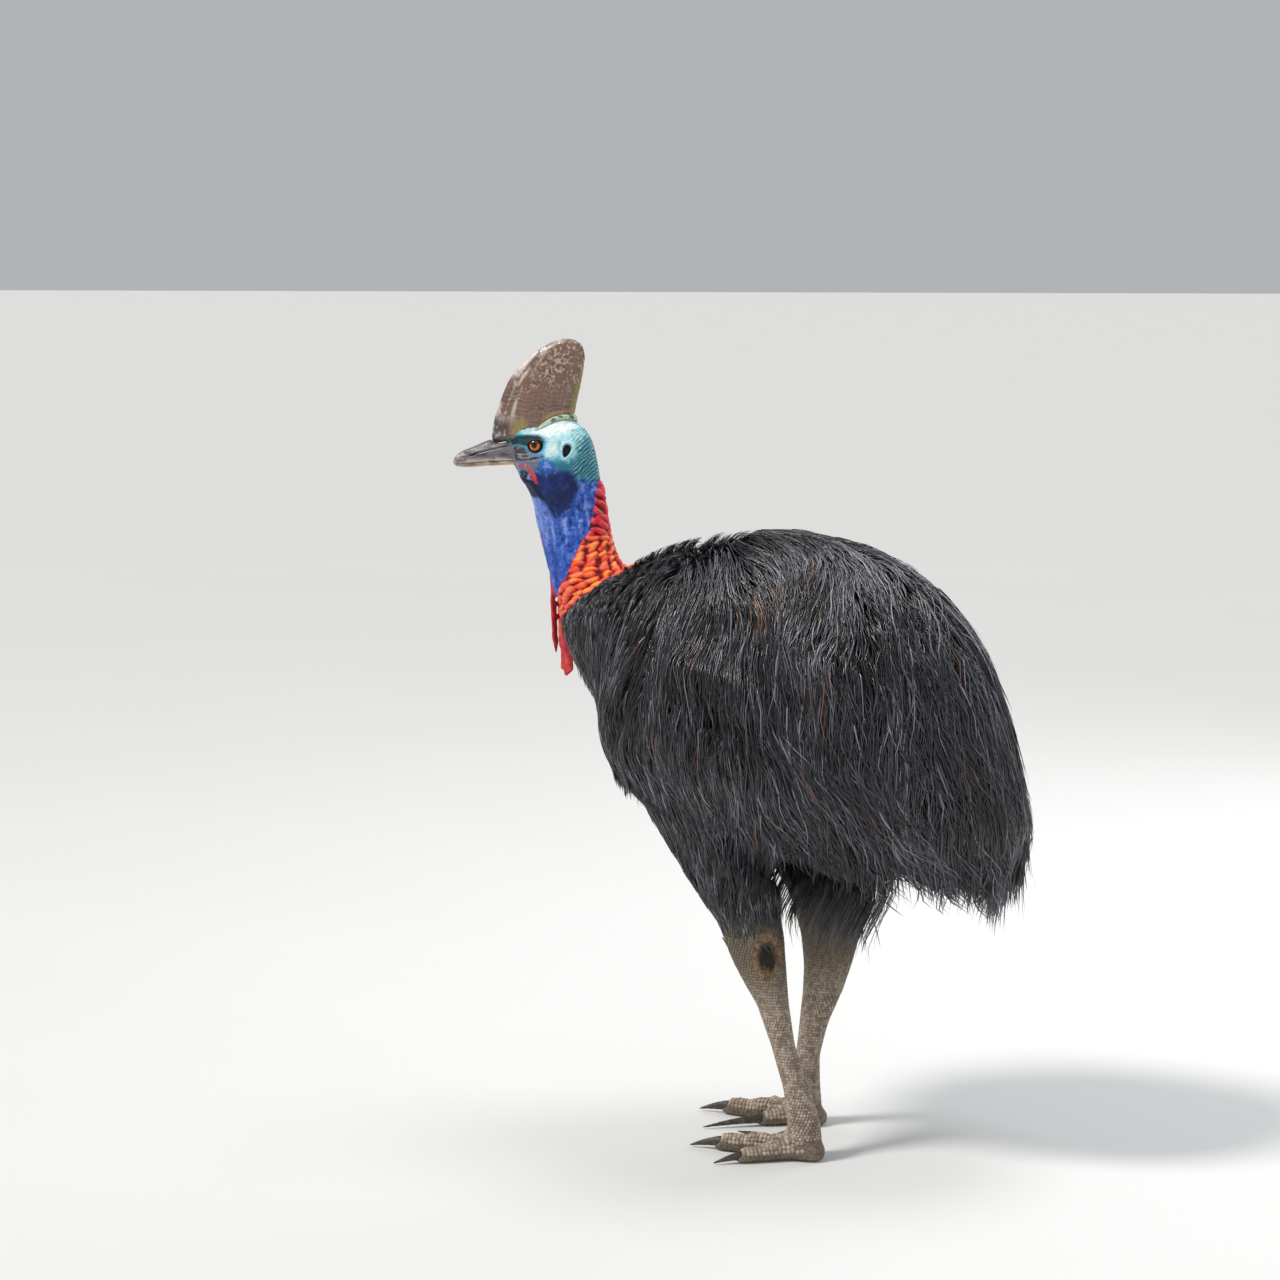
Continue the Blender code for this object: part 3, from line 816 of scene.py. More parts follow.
@dataclass
class Skin:
    """The one skin over all flesh, with the head's lids, ears, folds and colours and the neck's caruncles."""

    voxel: float = 0.0036
    finish: SkinFinish = field(default_factory=SkinFinish)
    eye_place: tuple[float, float, float] = (0.0496, 0.0180, 0.0240)
    eye_radius: float = 0.0150
    eye_opening: tuple[float, float] = (0.0112, 0.0104)
    ear_place: tuple[float, float] = (-0.0048, 0.0092)
    ear_size: tuple[float, float] = (0.0066, 0.0112)
    ear_taper: float = 0.32
    ear_round: float = 2.2
    ridge_spacing: float = 0.0052
    roll_height: float = 0.0056
    piece: Optional[bpy.types.Object] = None

    def coat_depth(self, places: Array) -> Array:
        """How far the skin of the trunk lies under the outline of its plumage."""
        along = np.interp(
            places[:, 1], [-0.30, -0.20, -0.04, 0.20, 0.45], [0.004, 0.009, 0.018, 0.028, 0.045]
        )
        return along + 0.030 * smooth_step(0.60, 0.49, places[:, 2])

    def sink(self, piece: bpy.types.Object, depth: Callable[[Array], Array]) -> bpy.types.Object:
        """Moves a copy's surface inwards by a depth that depends on the place."""
        places, normals = places_of(piece.data), normals_of(piece.data)
        set_places(piece.data, places - normals * depth(places)[:, None])
        return piece

    def thigh_depth(self, places: Array) -> Array:
        """How far the skin of a thigh lies under the outline of its feathers."""
        return 0.0015 + 0.013 * smooth_step(0.40, 0.52, places[:, 2])

    def fillers(self) -> list[bpy.types.Object]:
        """Flesh where horn, eyes and plumage were cut out of it, and the collar round the casque."""
        turn = HEAD.turn
        forward, up, out = self.eye_place
        return [
            add_ball(HEAD.world(0.083, 0.006), (0.0225, 0.031, 0.0275), turn),
            add_ball(HEAD.world(0.045, 0.030), (0.0245, 0.060, 0.0235), turn),
            *(add_ball(HEAD.world(forward, up, (out - 0.001) * side.value), (0.0146,) * 3) for side in Side),
            add_ball((0.0, -0.245, 0.925), (0.047, 0.062, 0.058)),
            *(add_ball((0.098 * side.value, 0.035, 0.570), (0.072, 0.100, 0.105)) for side in Side),
            add_ball((0.0, 0.02, 0.76), (0.195, 0.24, 0.19)),
            self.collar(),
            self.cuff(),
        ]

    def collar(self) -> bpy.types.Object:
        """The skin that climbs the foot of the casque, as far as the collar's edge."""
        rings = []
        for forward, top in COLLAR_EDGE:
            across = max(0.0, 1 - ((forward - 0.057) / 0.0705) ** 2)
            half_width = 0.0206 * math.sqrt(across) + 0.0026
            bottom = 0.012
            middle, reach = (top + bottom) / 2, (top - bottom) / 2
            ring = []
            for k in range(28):
                c, s = math.cos(2 * math.pi * k / 28), math.sin(2 * math.pi * k / 28)
                side = half_width * math.copysign(abs(c) ** 0.4, c)
                ring.append(HEAD.world(forward, middle + reach * math.copysign(abs(s) ** 0.4, s), side))
            rings.append(ring)
        return loft_through("collar", rings)

    def cuff(self) -> bpy.types.Object:
        """The soft fold round the back of the collar."""
        line = [*CUFF, *((f, u, -s, r) for f, u, s, r in CUFF[-2::-1])]
        middles = [HEAD.world(f, u, s) for f, u, s, _r in line]
        rings = []
        for i, middle in enumerate(middles):
            ahead = (middles[min(i + 1, len(line) - 1)] - middles[max(i - 1, 0)]).normalized()
            across = ahead.cross(Vector((0, 0, 1))).normalized()
            above = across.cross(ahead)
            turns = [2 * math.pi * k / 10 for k in range(10)]
            rings.append([middle + (across * math.cos(a) + above * math.sin(a)) * line[i][3] for a in turns])
        return loft_through("cuff", rings)

    def build(self) -> bpy.types.Object:
        """Joins the flesh, makes it one surface and shapes and paints it.

        Returns:
            The skin.
        """
        parts = []
        for node in FLESH_NODES:
            part = node_copy(node, f"flesh_{node}")
            if node == "trunk":
                self.sink(part, self.coat_depth)
            elif node.startswith("thigh"):
                self.sink(part, self.thigh_depth)
            parts.append(part)
        wattles = tree_of(*(p for p in parts if "wattle" in p.name))
        piece = join_all([*parts, *self.fillers()], "skin")
        finish_modifier(piece, "REMESH", mode="VOXEL", voxel_size=self.voxel)
        log.info("skin as one surface: %d faces", len(piece.data.polygons))
        self.thin_out(piece, "hidden", 0.05, lambda p: (self.behind_neck(p) > 0.5) & (p[:, 2] > 0.455))
        self.thin_out(piece, "legs", 0.50, lambda p: (p[:, 2] < 0.44))
        relax(piece.data, 4, 0.5, 1 - 0.55 * self.is_wattle(places_of(piece.data), wattles))
        subdivide_where(piece, self.is_bare_head)
        relax(piece.data, 3, 0.45, 1 - 0.6 * self.is_wattle(places_of(piece.data), wattles))
        subdivide_where(piece, self.is_near_eye)
        relax(piece.data, 2, 0.4)
        self.shape(piece.data, wattles)
        self.piece = piece
        piece.data.shade_smooth()
        return dress(piece, self.finish.material(), "blue_skin", *FLESH_NODES)

    def is_bare_head(self, middles: Array) -> Array:
        """True on the head, neck and wattles."""
        forward_of_plumage = (middles[:, 1] + 0.20) * 0.078 - (middles[:, 2] - 0.962) * 0.108 < 0
        hanging = (middles[:, 1] < -0.318) & (middles[:, 2] > 0.76)
        return (middles[:, 2] > 0.865) & forward_of_plumage & (middles[:, 1] < -0.17) | hanging

    def is_near_eye(self, middles: Array) -> Array:
        """True close round either eye and either ear."""
        local = HEAD.local(middles)
        eye = np.hypot(local[:, 0] - self.eye_place[0], local[:, 1] - self.eye_place[1])
        ear = np.hypot(local[:, 0] - self.ear_place[0], local[:, 1] - self.ear_place[1])
        return ((eye < 0.0245) | (ear < 0.0145)) & (np.abs(local[:, 2]) > 0.018)

    def is_wattle(self, places: Array, wattles: BVHTree) -> Array:
        """1 on the wattles and 0 elsewhere."""
        close = (places[:, 1] < -0.30) & (places[:, 2] < 1.0) & (places[:, 2] > 0.75)
        mask = np.zeros(len(places))
        mask[close] = 1 - smooth_step(0.003, 0.006, distances_to(wattles, places[close], 0.01))
        return mask

    def behind_neck(self, places: Array) -> Array:
        """0 on the head and neck and 1 on the trunk behind them."""
        return smooth_step(-0.16, -0.10, places[:, 1] - (places[:, 2] - 0.95) * 0.6)

    def thin_out(
        self, piece: bpy.types.Object, name: str, kept: float, chosen: Callable[[Array], Array]
    ) -> None:
        """Makes part of the mesh coarser.

        Args:
            piece: The skin.
            name: A name for that part.
            kept: The share of its faces that stays.
            chosen: Takes places, one per row, and says which are in the part.
        """
        inside = chosen(places_of(piece.data))
        group = piece.vertex_groups.new(name=name)
        group.add([int(i) for i in np.flatnonzero(inside)], 1.0, "REPLACE")
        ratio = 1 - inside.mean() * (1 - kept)
        finish_modifier(piece, "DECIMATE", ratio=ratio, vertex_group=name, vertex_group_factor=1.0)

    def shape(self, mesh: bpy.types.Mesh, wattles: BVHTree) -> None:
        """Shapes the head and neck by moving vertices, then paints the whole skin."""
        places, normals = places_of(mesh), normals_of(mesh)
        angle, up, _reach, local = NECK.read(HEAD, places)
        on_head = self.is_bare_head(places)
        wattle = self.is_wattle(places, wattles)
        rolls, roll_id = self.caruncles(angle, up, on_head & (wattle < 0.5))
        lift = rolls * self.roll_height
        lift += self.neck_folds(places, angle, up) * on_head * (1 - np.minimum(rolls * 3, 1)) * (1 - wattle)
        lift += wattle * self.wattle_folds(places)
        lift += self.head_folds(local, places) * on_head
        places = places + normals * lift[:, None]
        places = self.narrow_snout(places, local, on_head)
        places = self.eye_sockets(places, local)
        places = self.ears(places, local, normals)
        places = self.legs(places, normals)
        set_places(mesh, places)
        Paint(self).apply(mesh, places, angle, up, local, rolls, roll_id, wattle, on_head)

    def caruncles(self, angle: Array, up: Array, allowed: Array) -> tuple[Array, Array]:
        """Worm-like rolls of red skin down the nape: slanting pleats above, shorter fat rolls below.

        Args:
            angle: Angle from the nape.
            up: Height below the skull.
            allowed: Where rolls may be.

        Returns:
            The height of the rolls from 0 to 1, and a number that tells one roll from the next.
        """
        rng = np.random.default_rng(11)
        height, name = np.zeros(len(angle)), np.zeros(len(angle))
        across = angle * 0.047  # distance from the nape round the neck
        limit = np.interp(up, RED_UP, RED_ANGLE)
        row, level = 0, -0.046
        while level > -0.285:
            spacing = float(np.interp(-level, [0.12, 0.15, 0.21, 0.27], [0.0118, 0.0086, 0.0084, 0.0074]))
            half = float(np.interp(-level, [0.12, 0.15, 0.21, 0.27], [0.0175, 0.0100, 0.0092, 0.0066]))
            slant = math.radians(float(np.interp(-level, [0.125, 0.152], [41, -34])))
            edge = math.radians(float(np.interp(level, RED_UP, RED_ANGLE))) * 0.047
            start = -edge + (row % 2) * half * 0.9
            for centre in np.arange(start, edge + half, half * 1.80):
                u0 = level + rng.uniform(-0.0020, 0.0020)
                a0 = centre + rng.uniform(-0.25, 0.25) * half
                tilt = math.copysign(slant + math.radians(rng.uniform(-13, 13)), a0 * slant)
                long, wide = half * rng.uniform(0.85, 1.20), spacing * rng.uniform(0.47, 0.58)
                da, du = across - a0, up - u0
                x = da * math.cos(tilt) + du * math.sin(tilt)
                y = -da * math.sin(tilt) + du * math.cos(tilt) + 1.1 * x * x / long * rng.uniform(-0.35, 0.35)
                rise = np.sqrt(np.clip(1 - (np.abs(x) / long) ** 2.8 - (y / wide) ** 2, 0, 1))
                name = np.where(rise > height, rng.uniform(), name)
                height = np.maximum(height, rise)
            level -= spacing
            row += 1
        inside = 1 - smooth_step(-0.08, 0.05, np.abs(angle) - np.radians(limit))
        return height * inside * allowed, name

    def neck_lumps(self, places: Array) -> Array:
        """The small lumps and short folds of the blue neck, from -1 to 1."""
        long = ripple(places * np.array([1, 1, 0.42]), 0.0062, 43)
        return np.clip(0.75 * long + 0.55 * ripple(places, 0.0040, 45), -1, 1)

    def neck_folds(self, places: Array, angle: Array, up: Array) -> Array:
        """Long folds down the front of the blue neck, and lumps all over it."""
        wander = ripple(places * np.array([1, 1, 0.35]), 0.020, 3)
        folds = np.sin(np.abs(angle) * 9.5 + wander * 2.6 + up * 16)
        below = smooth_step(-0.078, -0.105, up)
        ahead = smooth_step(1.45, 2.0, np.abs(angle))
        return 0.0014 * folds * below * (0.35 + 0.65 * ahead) + 0.0010 * self.neck_lumps(places) * below

    def wattle_folds(self, places: Array) -> Array:
        """Creases and small lumps on the wattles."""
        lumps = ripple(places * np.array([1, 1, 0.5]), 0.006, 8)
        creases = -np.abs(ripple(places * np.array([1, 1, 0.22]), 0.010, 9))
        return 0.0009 * lumps + 0.0016 * creases + 0.0005

    def crown_ridges(self, local: Array, places: Array) -> tuple[Array, Array]:
        """The slanting ridges behind the ear: their wave from -1 to 1, and how strongly they stand out."""
        forward, up = local[:, 0], local[:, 1]
        across = (forward + up) / math.sqrt(2) / self.ridge_spacing * 2 * math.pi
        wave = np.sin(across + ripple(places, 0.011, 6) * 3.4)
        strength = (
            smooth_step(-0.006, -0.022, forward)
            * smooth_step(-0.058, -0.042, up)
            * smooth_step(0.058, 0.040, up)
        )
        return wave, strength * (0.55 + 0.45 * ripple(places, 0.007, 5))

    def head_folds(self, local: Array, places: Array) -> Array:
        """Ridges behind the skull, the cheek's swell, the brow, the throat's fold and the gape."""
        forward, up, side = local[:, 0], local[:, 1], np.abs(local[:, 2])
        wave, strong = self.crown_ridges(local, places)
        cheek = 0.0016 * bell(forward - 0.030, 0.020) * bell(up + 0.016, 0.016) * (side > 0.015)
        lumpy = bell(forward - 0.036, 0.022) * bell(up + 0.022, 0.014) * (side > 0.010)
        line_up = np.interp(forward, MOUTH_FORWARD, MOUTH_UP)
        on_line = smooth_step(0.041, 0.049, forward) * smooth_step(0.110, 0.095, forward) * (side > 0.010)
        gape = (
            -0.0018 * bell(up - line_up, 0.0013) * on_line
            + 0.0012 * bell(up - line_up + 0.0045, 0.0028) * on_line
        )
        brow = 0.0020 * bell(forward - 0.062, 0.020) * bell(up - 0.0355, 0.0045) * (side > 0.010)
        fold = way_to_line(local[:, :2], THROAT_FOLD)
        throat = (-0.0026 * bell(fold, 0.0017) + 0.0012 * bell(fold - 0.005, 0.003)) * (side > 0.008)
        hem = way_to_line(local[:, :2], SHIELD[2:6])
        under = -0.0012 * bell(hem, 0.0016) * (side > 0.012)
        around = np.abs(places[:, 2] - HEAD.pivot[2]) < 0.13
        return (
            0.0009 * wave * strong
            + cheek
            + 0.0013 * ripple(places, 0.0055, 7) * lumpy
            + gape
            + brow
            + (throat + under) * around
        )

    def narrow_snout(self, places: Array, local: Array, on_head: Array) -> Array:
        """Draws the skin in where the horn of the bill comes out of it."""
        amount = smooth_step(0.080, 0.096, local[:, 0]) * on_head
        scale_side, scale_up = 1 - 0.30 * amount, 1 - 0.28 * amount
        across = local[:, 2] * (scale_side - 1)
        rise = (local[:, 1] - 0.004) * (scale_up - 1) * smooth_step(0.030, 0.018, local[:, 1])
        s, c = math.sin(HEAD.turn), math.cos(HEAD.turn)
        return places + np.stack([across * c, across * s, rise], axis=1)

    def eye_ring(self, local: Array) -> tuple[Array, Array]:
        """Distance from the eye's middle, where 1 is the lids' edge, and the height over its long axis."""
        ahead, above = local[:, 0] - self.eye_place[0], local[:, 1] - self.eye_place[1]
        tilt = math.radians(-12)
        x = ahead * math.cos(tilt) + above * math.sin(tilt)
        y = -ahead * math.sin(tilt) + above * math.cos(tilt)
        high = self.eye_opening[1] * (1 - 0.24 * smooth_step(-0.001, 0.004, y))
        return np.hypot(x / self.eye_opening[0], y / high), y

    def eye_sockets(self, places: Array, local: Array) -> Array:
        """Opens the skin over each eyeball and lays a lid round it."""
        ring, above = self.eye_ring(local)
        out = np.abs(local[:, 2])
        offset = np.hypot(local[:, 0] - self.eye_place[0], local[:, 1] - self.eye_place[1])
        ball = self.eye_place[2] + np.sqrt(np.clip(self.eye_radius**2 - offset**2, 0, None))
        rim = self.eye_place[2] + math.sqrt(self.eye_radius**2 - self.eye_opening[0] ** 2) + 0.0017
        lid = (
            rim
            + 0.0009 * bell(ring - 1.12, 0.10)
            + 0.0012 * bell(ring - 1.30, 0.16) * smooth_step(0.0, 0.006, above)
        )
        raised = out + (lid - out) * smooth_step(1.80, 1.20, ring) - 0.0009 * bell(ring - 1.55, 0.08)
        wanted = raised + (ball - 0.0050 - raised) * smooth_step(1.03, 0.90, ring)
        here = (out > 0.016) & (ring < 2.2)
        move = np.where(here, wanted - out, 0) * np.sign(local[:, 2])
        s, c = math.sin(HEAD.turn), math.cos(HEAD.turn)
        return places + np.stack([move * c, move * s, np.zeros(len(places))], axis=1)

    def ears(self, places: Array, local: Array, normals: Array) -> Array:
        """Sinks the ear openings and raises their rims."""
        hole = self.ear_ring(local)
        here = np.abs(local[:, 2]) > 0.02
        depth = -0.0070 * smooth_step(1.08, 0.60, hole) + 0.0015 * bell(hole - 1.28, 0.20)
        return places + normals * (depth * here)[:, None]

    def ear_ring(self, local: Array) -> Array:
        """Distance from the middle of the ear, where 1 is its rim; the opening narrows downward."""
        ahead, above = local[:, 0] - self.ear_place[0], local[:, 1] - self.ear_place[1]
        tilt = math.radians(16)
        x = ahead * math.cos(tilt) + above * math.sin(tilt)
        y = -ahead * math.sin(tilt) + above * math.cos(tilt)
        wide, high = self.ear_size
        x = x / (wide * (1 + self.ear_taper * np.clip(y / high, -1, 1)))
        return (np.abs(x) ** self.ear_round + np.abs(y / high) ** self.ear_round) ** (1 / self.ear_round)

    def legs(self, places: Array, normals: Array) -> Array:
        """Roughens the callus on the heel."""
        callus = smooth_step(1.12, 0.80, self.callus(places))
        pit = smooth_step(0.62, 0.30, self.callus(places))
        rough = (
            0.0013 * ripple(places, 0.005, 21) + 0.0012 * ripple(places, 0.011, 22) + 0.0012 - 0.0030 * pit
        )
        return places + normals * (rough * callus)[:, None]

    def callus(self, places: Array) -> Array:
        """Distance from the middle of the bare pad outside each hock, where 1 is its edge."""
        return np.minimum(*(leg.pad_distance(places) for leg in LEGS))


# How far the red skin reaches round the neck from the nape, in degrees, at each height
RED_UP = (-0.285, -0.250, -0.232, -0.206, -0.180, -0.154, -0.129, -0.103, -0.077, -0.046, -0.034)
RED_ANGLE = (165.0, 150.0, 128.0, 106.0, 92.0, 74.0, 55.0, 44.0, 37.0, 24.0, 0.0)


@dataclass
class Paint:
    """The colours of the skin, worked out per vertex from where it is on the bird."""

    skin: Skin
    white: Colour = (0.84, 0.92, 0.90)
    pale: Colour = (0.42, 0.80, 0.84)
    turquoise: Colour = (0.060, 0.430, 0.580)
    ocean: Colour = (0.010, 0.165, 0.235)
    deep: Colour = (0.001, 0.026, 0.040)
    navy: Colour = (0.001, 0.012, 0.050)
    cobalt: Colour = (0.0005, 0.0120, 0.085)
    royal: Colour = (0.010, 0.095, 0.520)
    ink: Colour = (0.001, 0.026, 0.210)
    lavender: Colour = (0.185, 0.290, 0.730)
    crimson: Colour = (0.62, 0.004, 0.022)
    scarlet: Colour = (0.84, 0.014, 0.003)
    orange: Colour = (1.00, 0.130, 0.002)
    yellow: Colour = (1.00, 0.400, 0.025)
    salmon: Colour = (0.84, 0.070, 0.065)
    lore: Colour = (0.070, 0.060, 0.070)
    leg: Colour = (0.200, 0.150, 0.110)
    hide: Colour = (0.014, 0.014, 0.017)
    bright_part: tuple[tuple[float, float], ...] = (
        (0.080, 0.050), (0.055, 0.060), (0.030, 0.080), (-0.022, 0.078), (-0.020, 0.054), (-0.036, 0.034),
        (-0.018, 0.002), (-0.007, -0.009), (0.008, 0.002), (0.032, -0.003), (0.032, 0.004),
        (0.029, 0.024), (0.034, 0.034), (0.057, 0.038), (0.075, 0.040),
    )  # fmt: skip
    lore_part: tuple[tuple[float, float], ...] = (
        (0.118, 0.026), (0.097, 0.019), (0.069, 0.015), (0.057, 0.007), (0.035, 0.002), (0.034, -0.001),
        (0.050, -0.004), (0.069, -0.006), (0.118, -0.010),
    )  # fmt: skip
    shadow_part: tuple[tuple[float, float], ...] = (
        (0.098, 0.025), (0.085, 0.034), (0.064, 0.035), (0.044, 0.035), (0.033, 0.029), (0.048, 0.027),
        (0.060, 0.018), (0.070, 0.017), (0.093, 0.020),
    )  # fmt: skip
    front_part: tuple[tuple[float, float], ...] = (
        (0.105, -0.026), (0.060, -0.032), (0.054, -0.046), (0.030, -0.077), (0.042, -0.074), (0.072, -0.070),
        (0.105, -0.055),
    )  # fmt: skip

    def apply(
        self,
        mesh: bpy.types.Mesh,
        places: Array,
        angle: Array,
        up: Array,
        local: Array,
        rolls: Array,
        roll_id: Array,
        wattle: Array,
        on_head: Array,
    ) -> None:
        """Paints the mesh.

        Args:
            mesh: The skin's mesh.
            places: Its vertices.
            angle: Angle of each from the nape.
            up: Height of each below the skull.
            local: Forward, up and side of each.
            rolls: Height of the nape's rolls.
            roll_id: A number for each roll.
            wattle: 1 on the wattles.
            on_head: True on the head and neck.
        """
        head = self.head_colours(places, local)
        self.neck_colours(head, places, angle, up, local)
        self.face_colours(head, places, local)
        wash = Wash(self.hide, len(places))
        wash.over(head.colours, on_head)
        red = self.red_parts(wash, places, angle, up, rolls, roll_id, on_head)
        self.wattle_colours(wash, places, wattle)
        leg = smooth_step(0.42, 0.38, places[:, 2])
        dirt = ripple(places, 0.02, 31) * 0.25 + 1
        tan = Wash(self.leg, len(places))
        tan.over((0.100, 0.085, 0.050), smooth_step(0.29, 0.37, places[:, 2]))
        wash.over(tan.colours * dirt[:, None], leg)
        spot = self.skin.callus(places)
        flaky = smooth_step(-0.5, 0.5, ripple(places, 0.005, 32))
        wash.over((0.060, 0.036, 0.018), smooth_step(1.10, 0.92, spot))
        wash.over((0.300, 0.185, 0.110), bell(spot - 0.82, 0.20) * (0.35 + 0.65 * flaky))
        wash.over((0.014, 0.010, 0.005), smooth_step(0.62, 0.40, spot + 0.22 * ripple(places, 0.012, 33)))
        gloss = on_head * 0.55 + red * 0.45
        blue = on_head * smooth_step(-0.06, -0.10, up) * (1 - red)
        coarse = 0.2 + blue * 0.35 + leg * 0.9 - 0.15 * red
        keep_values(mesh, "tint", np.clip(wash.colours, 0, 1))
        keep_values(mesh, "gloss", np.clip(gloss, 0, 1))
        keep_values(mesh, "coarse", np.clip(coarse, 0, 1.2))

    def head_colours(self, places: Array, local: Array) -> Wash:
        """Turquoise over the top of the head, nearly white on the crown under a painted highlight, ridged and
        darker behind the ear, with painted highlights on the ridges and painted shade between them.
        """
        forward, above = local[:, 0], local[:, 1]
        fine, broad = ripple(places, 0.0048, 42), ripple(places, 0.014, 41)
        wobble = broad * 0.005 + fine * 0.003
        wash = Wash(self.turquoise, len(places))
        wash.over(self.ocean, smooth_step(-0.014, -0.032, forward + wobble) * 0.85)
        wash.over(self.ocean, smooth_step(0.002, -0.012, above + wobble) * 0.8)
        bright = within(local[:, :2] + np.stack([wobble, wobble], axis=1), self.bright_part, 0.0045)
        wash.over(self.pale, bright * (0.86 + 0.14 * fine))
        # The white put over the top of the head is a painted highlight; it also whitens a patch behind the
        # eye and follows the fine mottling.
        top = (
            smooth_step(0.022, 0.038, above + 0.25 * (forward - 0.03) + wobble)
            * smooth_step(-0.030, -0.012, forward)
        )
        rear = bell(forward - 0.018, 0.016) * bell(above - 0.010, 0.016)
        wash.over(self.white, bright * np.clip(top + 0.75 * rear + 0.30 * fine, 0, 1))
        wash.over(self.turquoise, bright * smooth_step(0.15, 0.6, broad + 0.5 * fine) * 0.65)
        wave, strong = self.skin.crown_ridges(local, places)
        # Painted highlights on the ridges' crests and painted shade in their troughs.
        wash.over(self.pale, strong * smooth_step(0.20, 0.90, wave) * 0.75)
        wash.over(self.deep, strong * smooth_step(-0.10, -0.75, wave) * 0.85)
        return wash

    def neck_colours(self, wash: Wash, places: Array, angle: Array, up: Array, local: Array) -> None:
        """The dark shield under the cheek and the lumpy blue neck round and below it, with painted highlights
        on the lumps and painted shade in their pits, in the long folds and along the throat's fold.
        """
        forward, above = local[:, 0], local[:, 1]
        wobble = ripple(places, 0.014, 46) * 0.004 + ripple(places, 0.005, 47) * 0.002
        lumps = self.skin.neck_lumps(places)
        behind = smooth_step(-0.034, -0.046, above + wobble) * smooth_step(-0.004, -0.014, forward + wobble)
        low = np.maximum(behind, smooth_step(-0.064, -0.078, above + wobble))
        neck = Wash(self.royal, len(places))
        # Painted highlights in lavender on the tops of the lumps, and painted shade in ink in the pits
        # between them.
        neck.over(self.lavender, smooth_step(0.05, 0.60, lumps))
        neck.over(self.ink, smooth_step(-0.05, -0.55, lumps))
        # Painted shade in ink along the troughs of the long folds down the front.
        wander = ripple(places * np.array([1, 1, 0.35]), 0.020, 3)
        folds = np.sin(np.abs(angle) * 9.5 + wander * 2.6 + up * 16)
        ahead = smooth_step(1.45, 2.0, np.abs(angle))
        neck.over(self.ink, smooth_step(-0.35, -0.95, folds) * ahead * 0.8)
        # The front is lavender, a little paler on the lumps' tops as painted highlight.
        front = smooth_step(1.75, 2.3, np.abs(angle)) * smooth_step(-0.175, -0.125, up)
        neck.over(self.lavender, front * (0.55 + 0.25 * lumps))
        deepening = smooth_step(-0.120, -0.185, up)
        neck.over((0.004, 0.065, 0.400), deepening * 0.55)
        wash.over(neck.colours, low)
        cyan = bell(above + 0.037 + wobble, 0.0065) * smooth_step(-0.012, -0.026, forward)
        wash.over((0.060, 0.440, 0.720), cyan * smooth_step(-0.2, 0.4, lumps))
        chart = local[:, :2] + np.stack([wobble, wobble], axis=1)
        wash.over((0.001, 0.055, 0.260), within(chart, SHIELD, 0.0140))
        wash.over(self.cobalt, within(chart, SHIELD, 0.0065))
        wash.over(
            self.ink, within(chart, SHIELD, 0.0080) * smooth_step(0.0, 0.6, ripple(places, 0.007, 48)) * 0.7
        )
        wash.over(self.navy, within(chart, self.front_part, 0.0030))
        # Painted shade: a dark line along the throat's fold.
        fold = way_to_line(local[:, :2], THROAT_FOLD)
        wash.over((0.001, 0.008, 0.040), bell(fold, 0.0020) * 0.85 * (above > -0.12))

    def face_colours(self, wash: Wash, places: Array, local: Array) -> None:
        """Paints the lores, the eye's surround, the ear, the collar's fold and the spots at the gape, with
        painted shade over the upper lid, inside the ear and in the collar's groove, and some at the lids'
        edge.
        """
        forward, above, side = local[:, 0], local[:, 1], np.abs(local[:, 2])
        chart, fine = local[:, :2], ripple(places, 0.0045, 49)
        outer = side > 0.010
        lumpy = within(
            chart,
            ((0.043, -0.004), (0.020, -0.008), (0.014, -0.026), (0.034, -0.032), (0.046, -0.020)),
            0.009,
        )
        wash.over((0.008, 0.095, 0.440), lumpy * 0.9)
        wash.over(
            (0.180, 0.320, 0.800), lumpy * smooth_step(0.10, 0.60, fine + 0.4 * ripple(places, 0.0026, 55))
        )
        under = within(
            chart,
            ((0.100, -0.008), (0.040, -0.004), (0.046, -0.019), (0.074, -0.022), (0.105, -0.020)),
            0.003,
        )
        wash.over((0.190, 0.165, 0.235), under * 0.85)
        wash.over((0.420, 0.390, 0.460), under * smooth_step(0.1, 0.6, fine) * 0.7)
        chin = within(
            chart,
            ((0.095, -0.022), (0.060, -0.026), (0.055, -0.040), (0.075, -0.042), (0.098, -0.032)),
            0.003,
        )
        wash.over(self.navy, chin * 0.8)
        wash.over((0.300, 0.330, 0.680), chin * smooth_step(-0.1, 0.45, fine) * 0.9)
        wash.over(self.deep, within(chart, self.shadow_part, 0.0030) * outer)
        lore = within(chart, self.lore_part, 0.0022)
        wash.over(self.lore, lore)
        streak = smooth_step(0.0, 0.6, ripple(local * np.array([0.25, 1, 1]), 0.0028, 50))
        wash.over((0.360, 0.350, 0.400), lore * streak * 0.7)
        wash.over((0.020, 0.020, 0.024), lore * (1 - streak) * 0.35)
        ring, over = self.skin.eye_ring(local)
        lit = bell(ring - 1.52, 0.20) * smooth_step(0.002, -0.004, over)
        wash.over((0.080, 0.340, 0.640), lit * outer * 0.8)
        # Painted shade from the brow darkens the upper lid.
        upper = smooth_step(1.75, 1.35, ring) * smooth_step(-0.001, 0.004, over)
        wash.over((0.004, 0.022, 0.030), upper * outer * 0.92)
        # A near-black ring at the lids' edge: partly the lids' own dark edge, partly painted shade between
        # lid and eyeball.
        wash.over((0.004, 0.005, 0.007), smooth_step(1.34, 1.16, ring) * outer)
        hole = self.skin.ear_ring(local)
        wash.over(self.white, bell(hole - 1.34, 0.20) * 0.40 * outer)
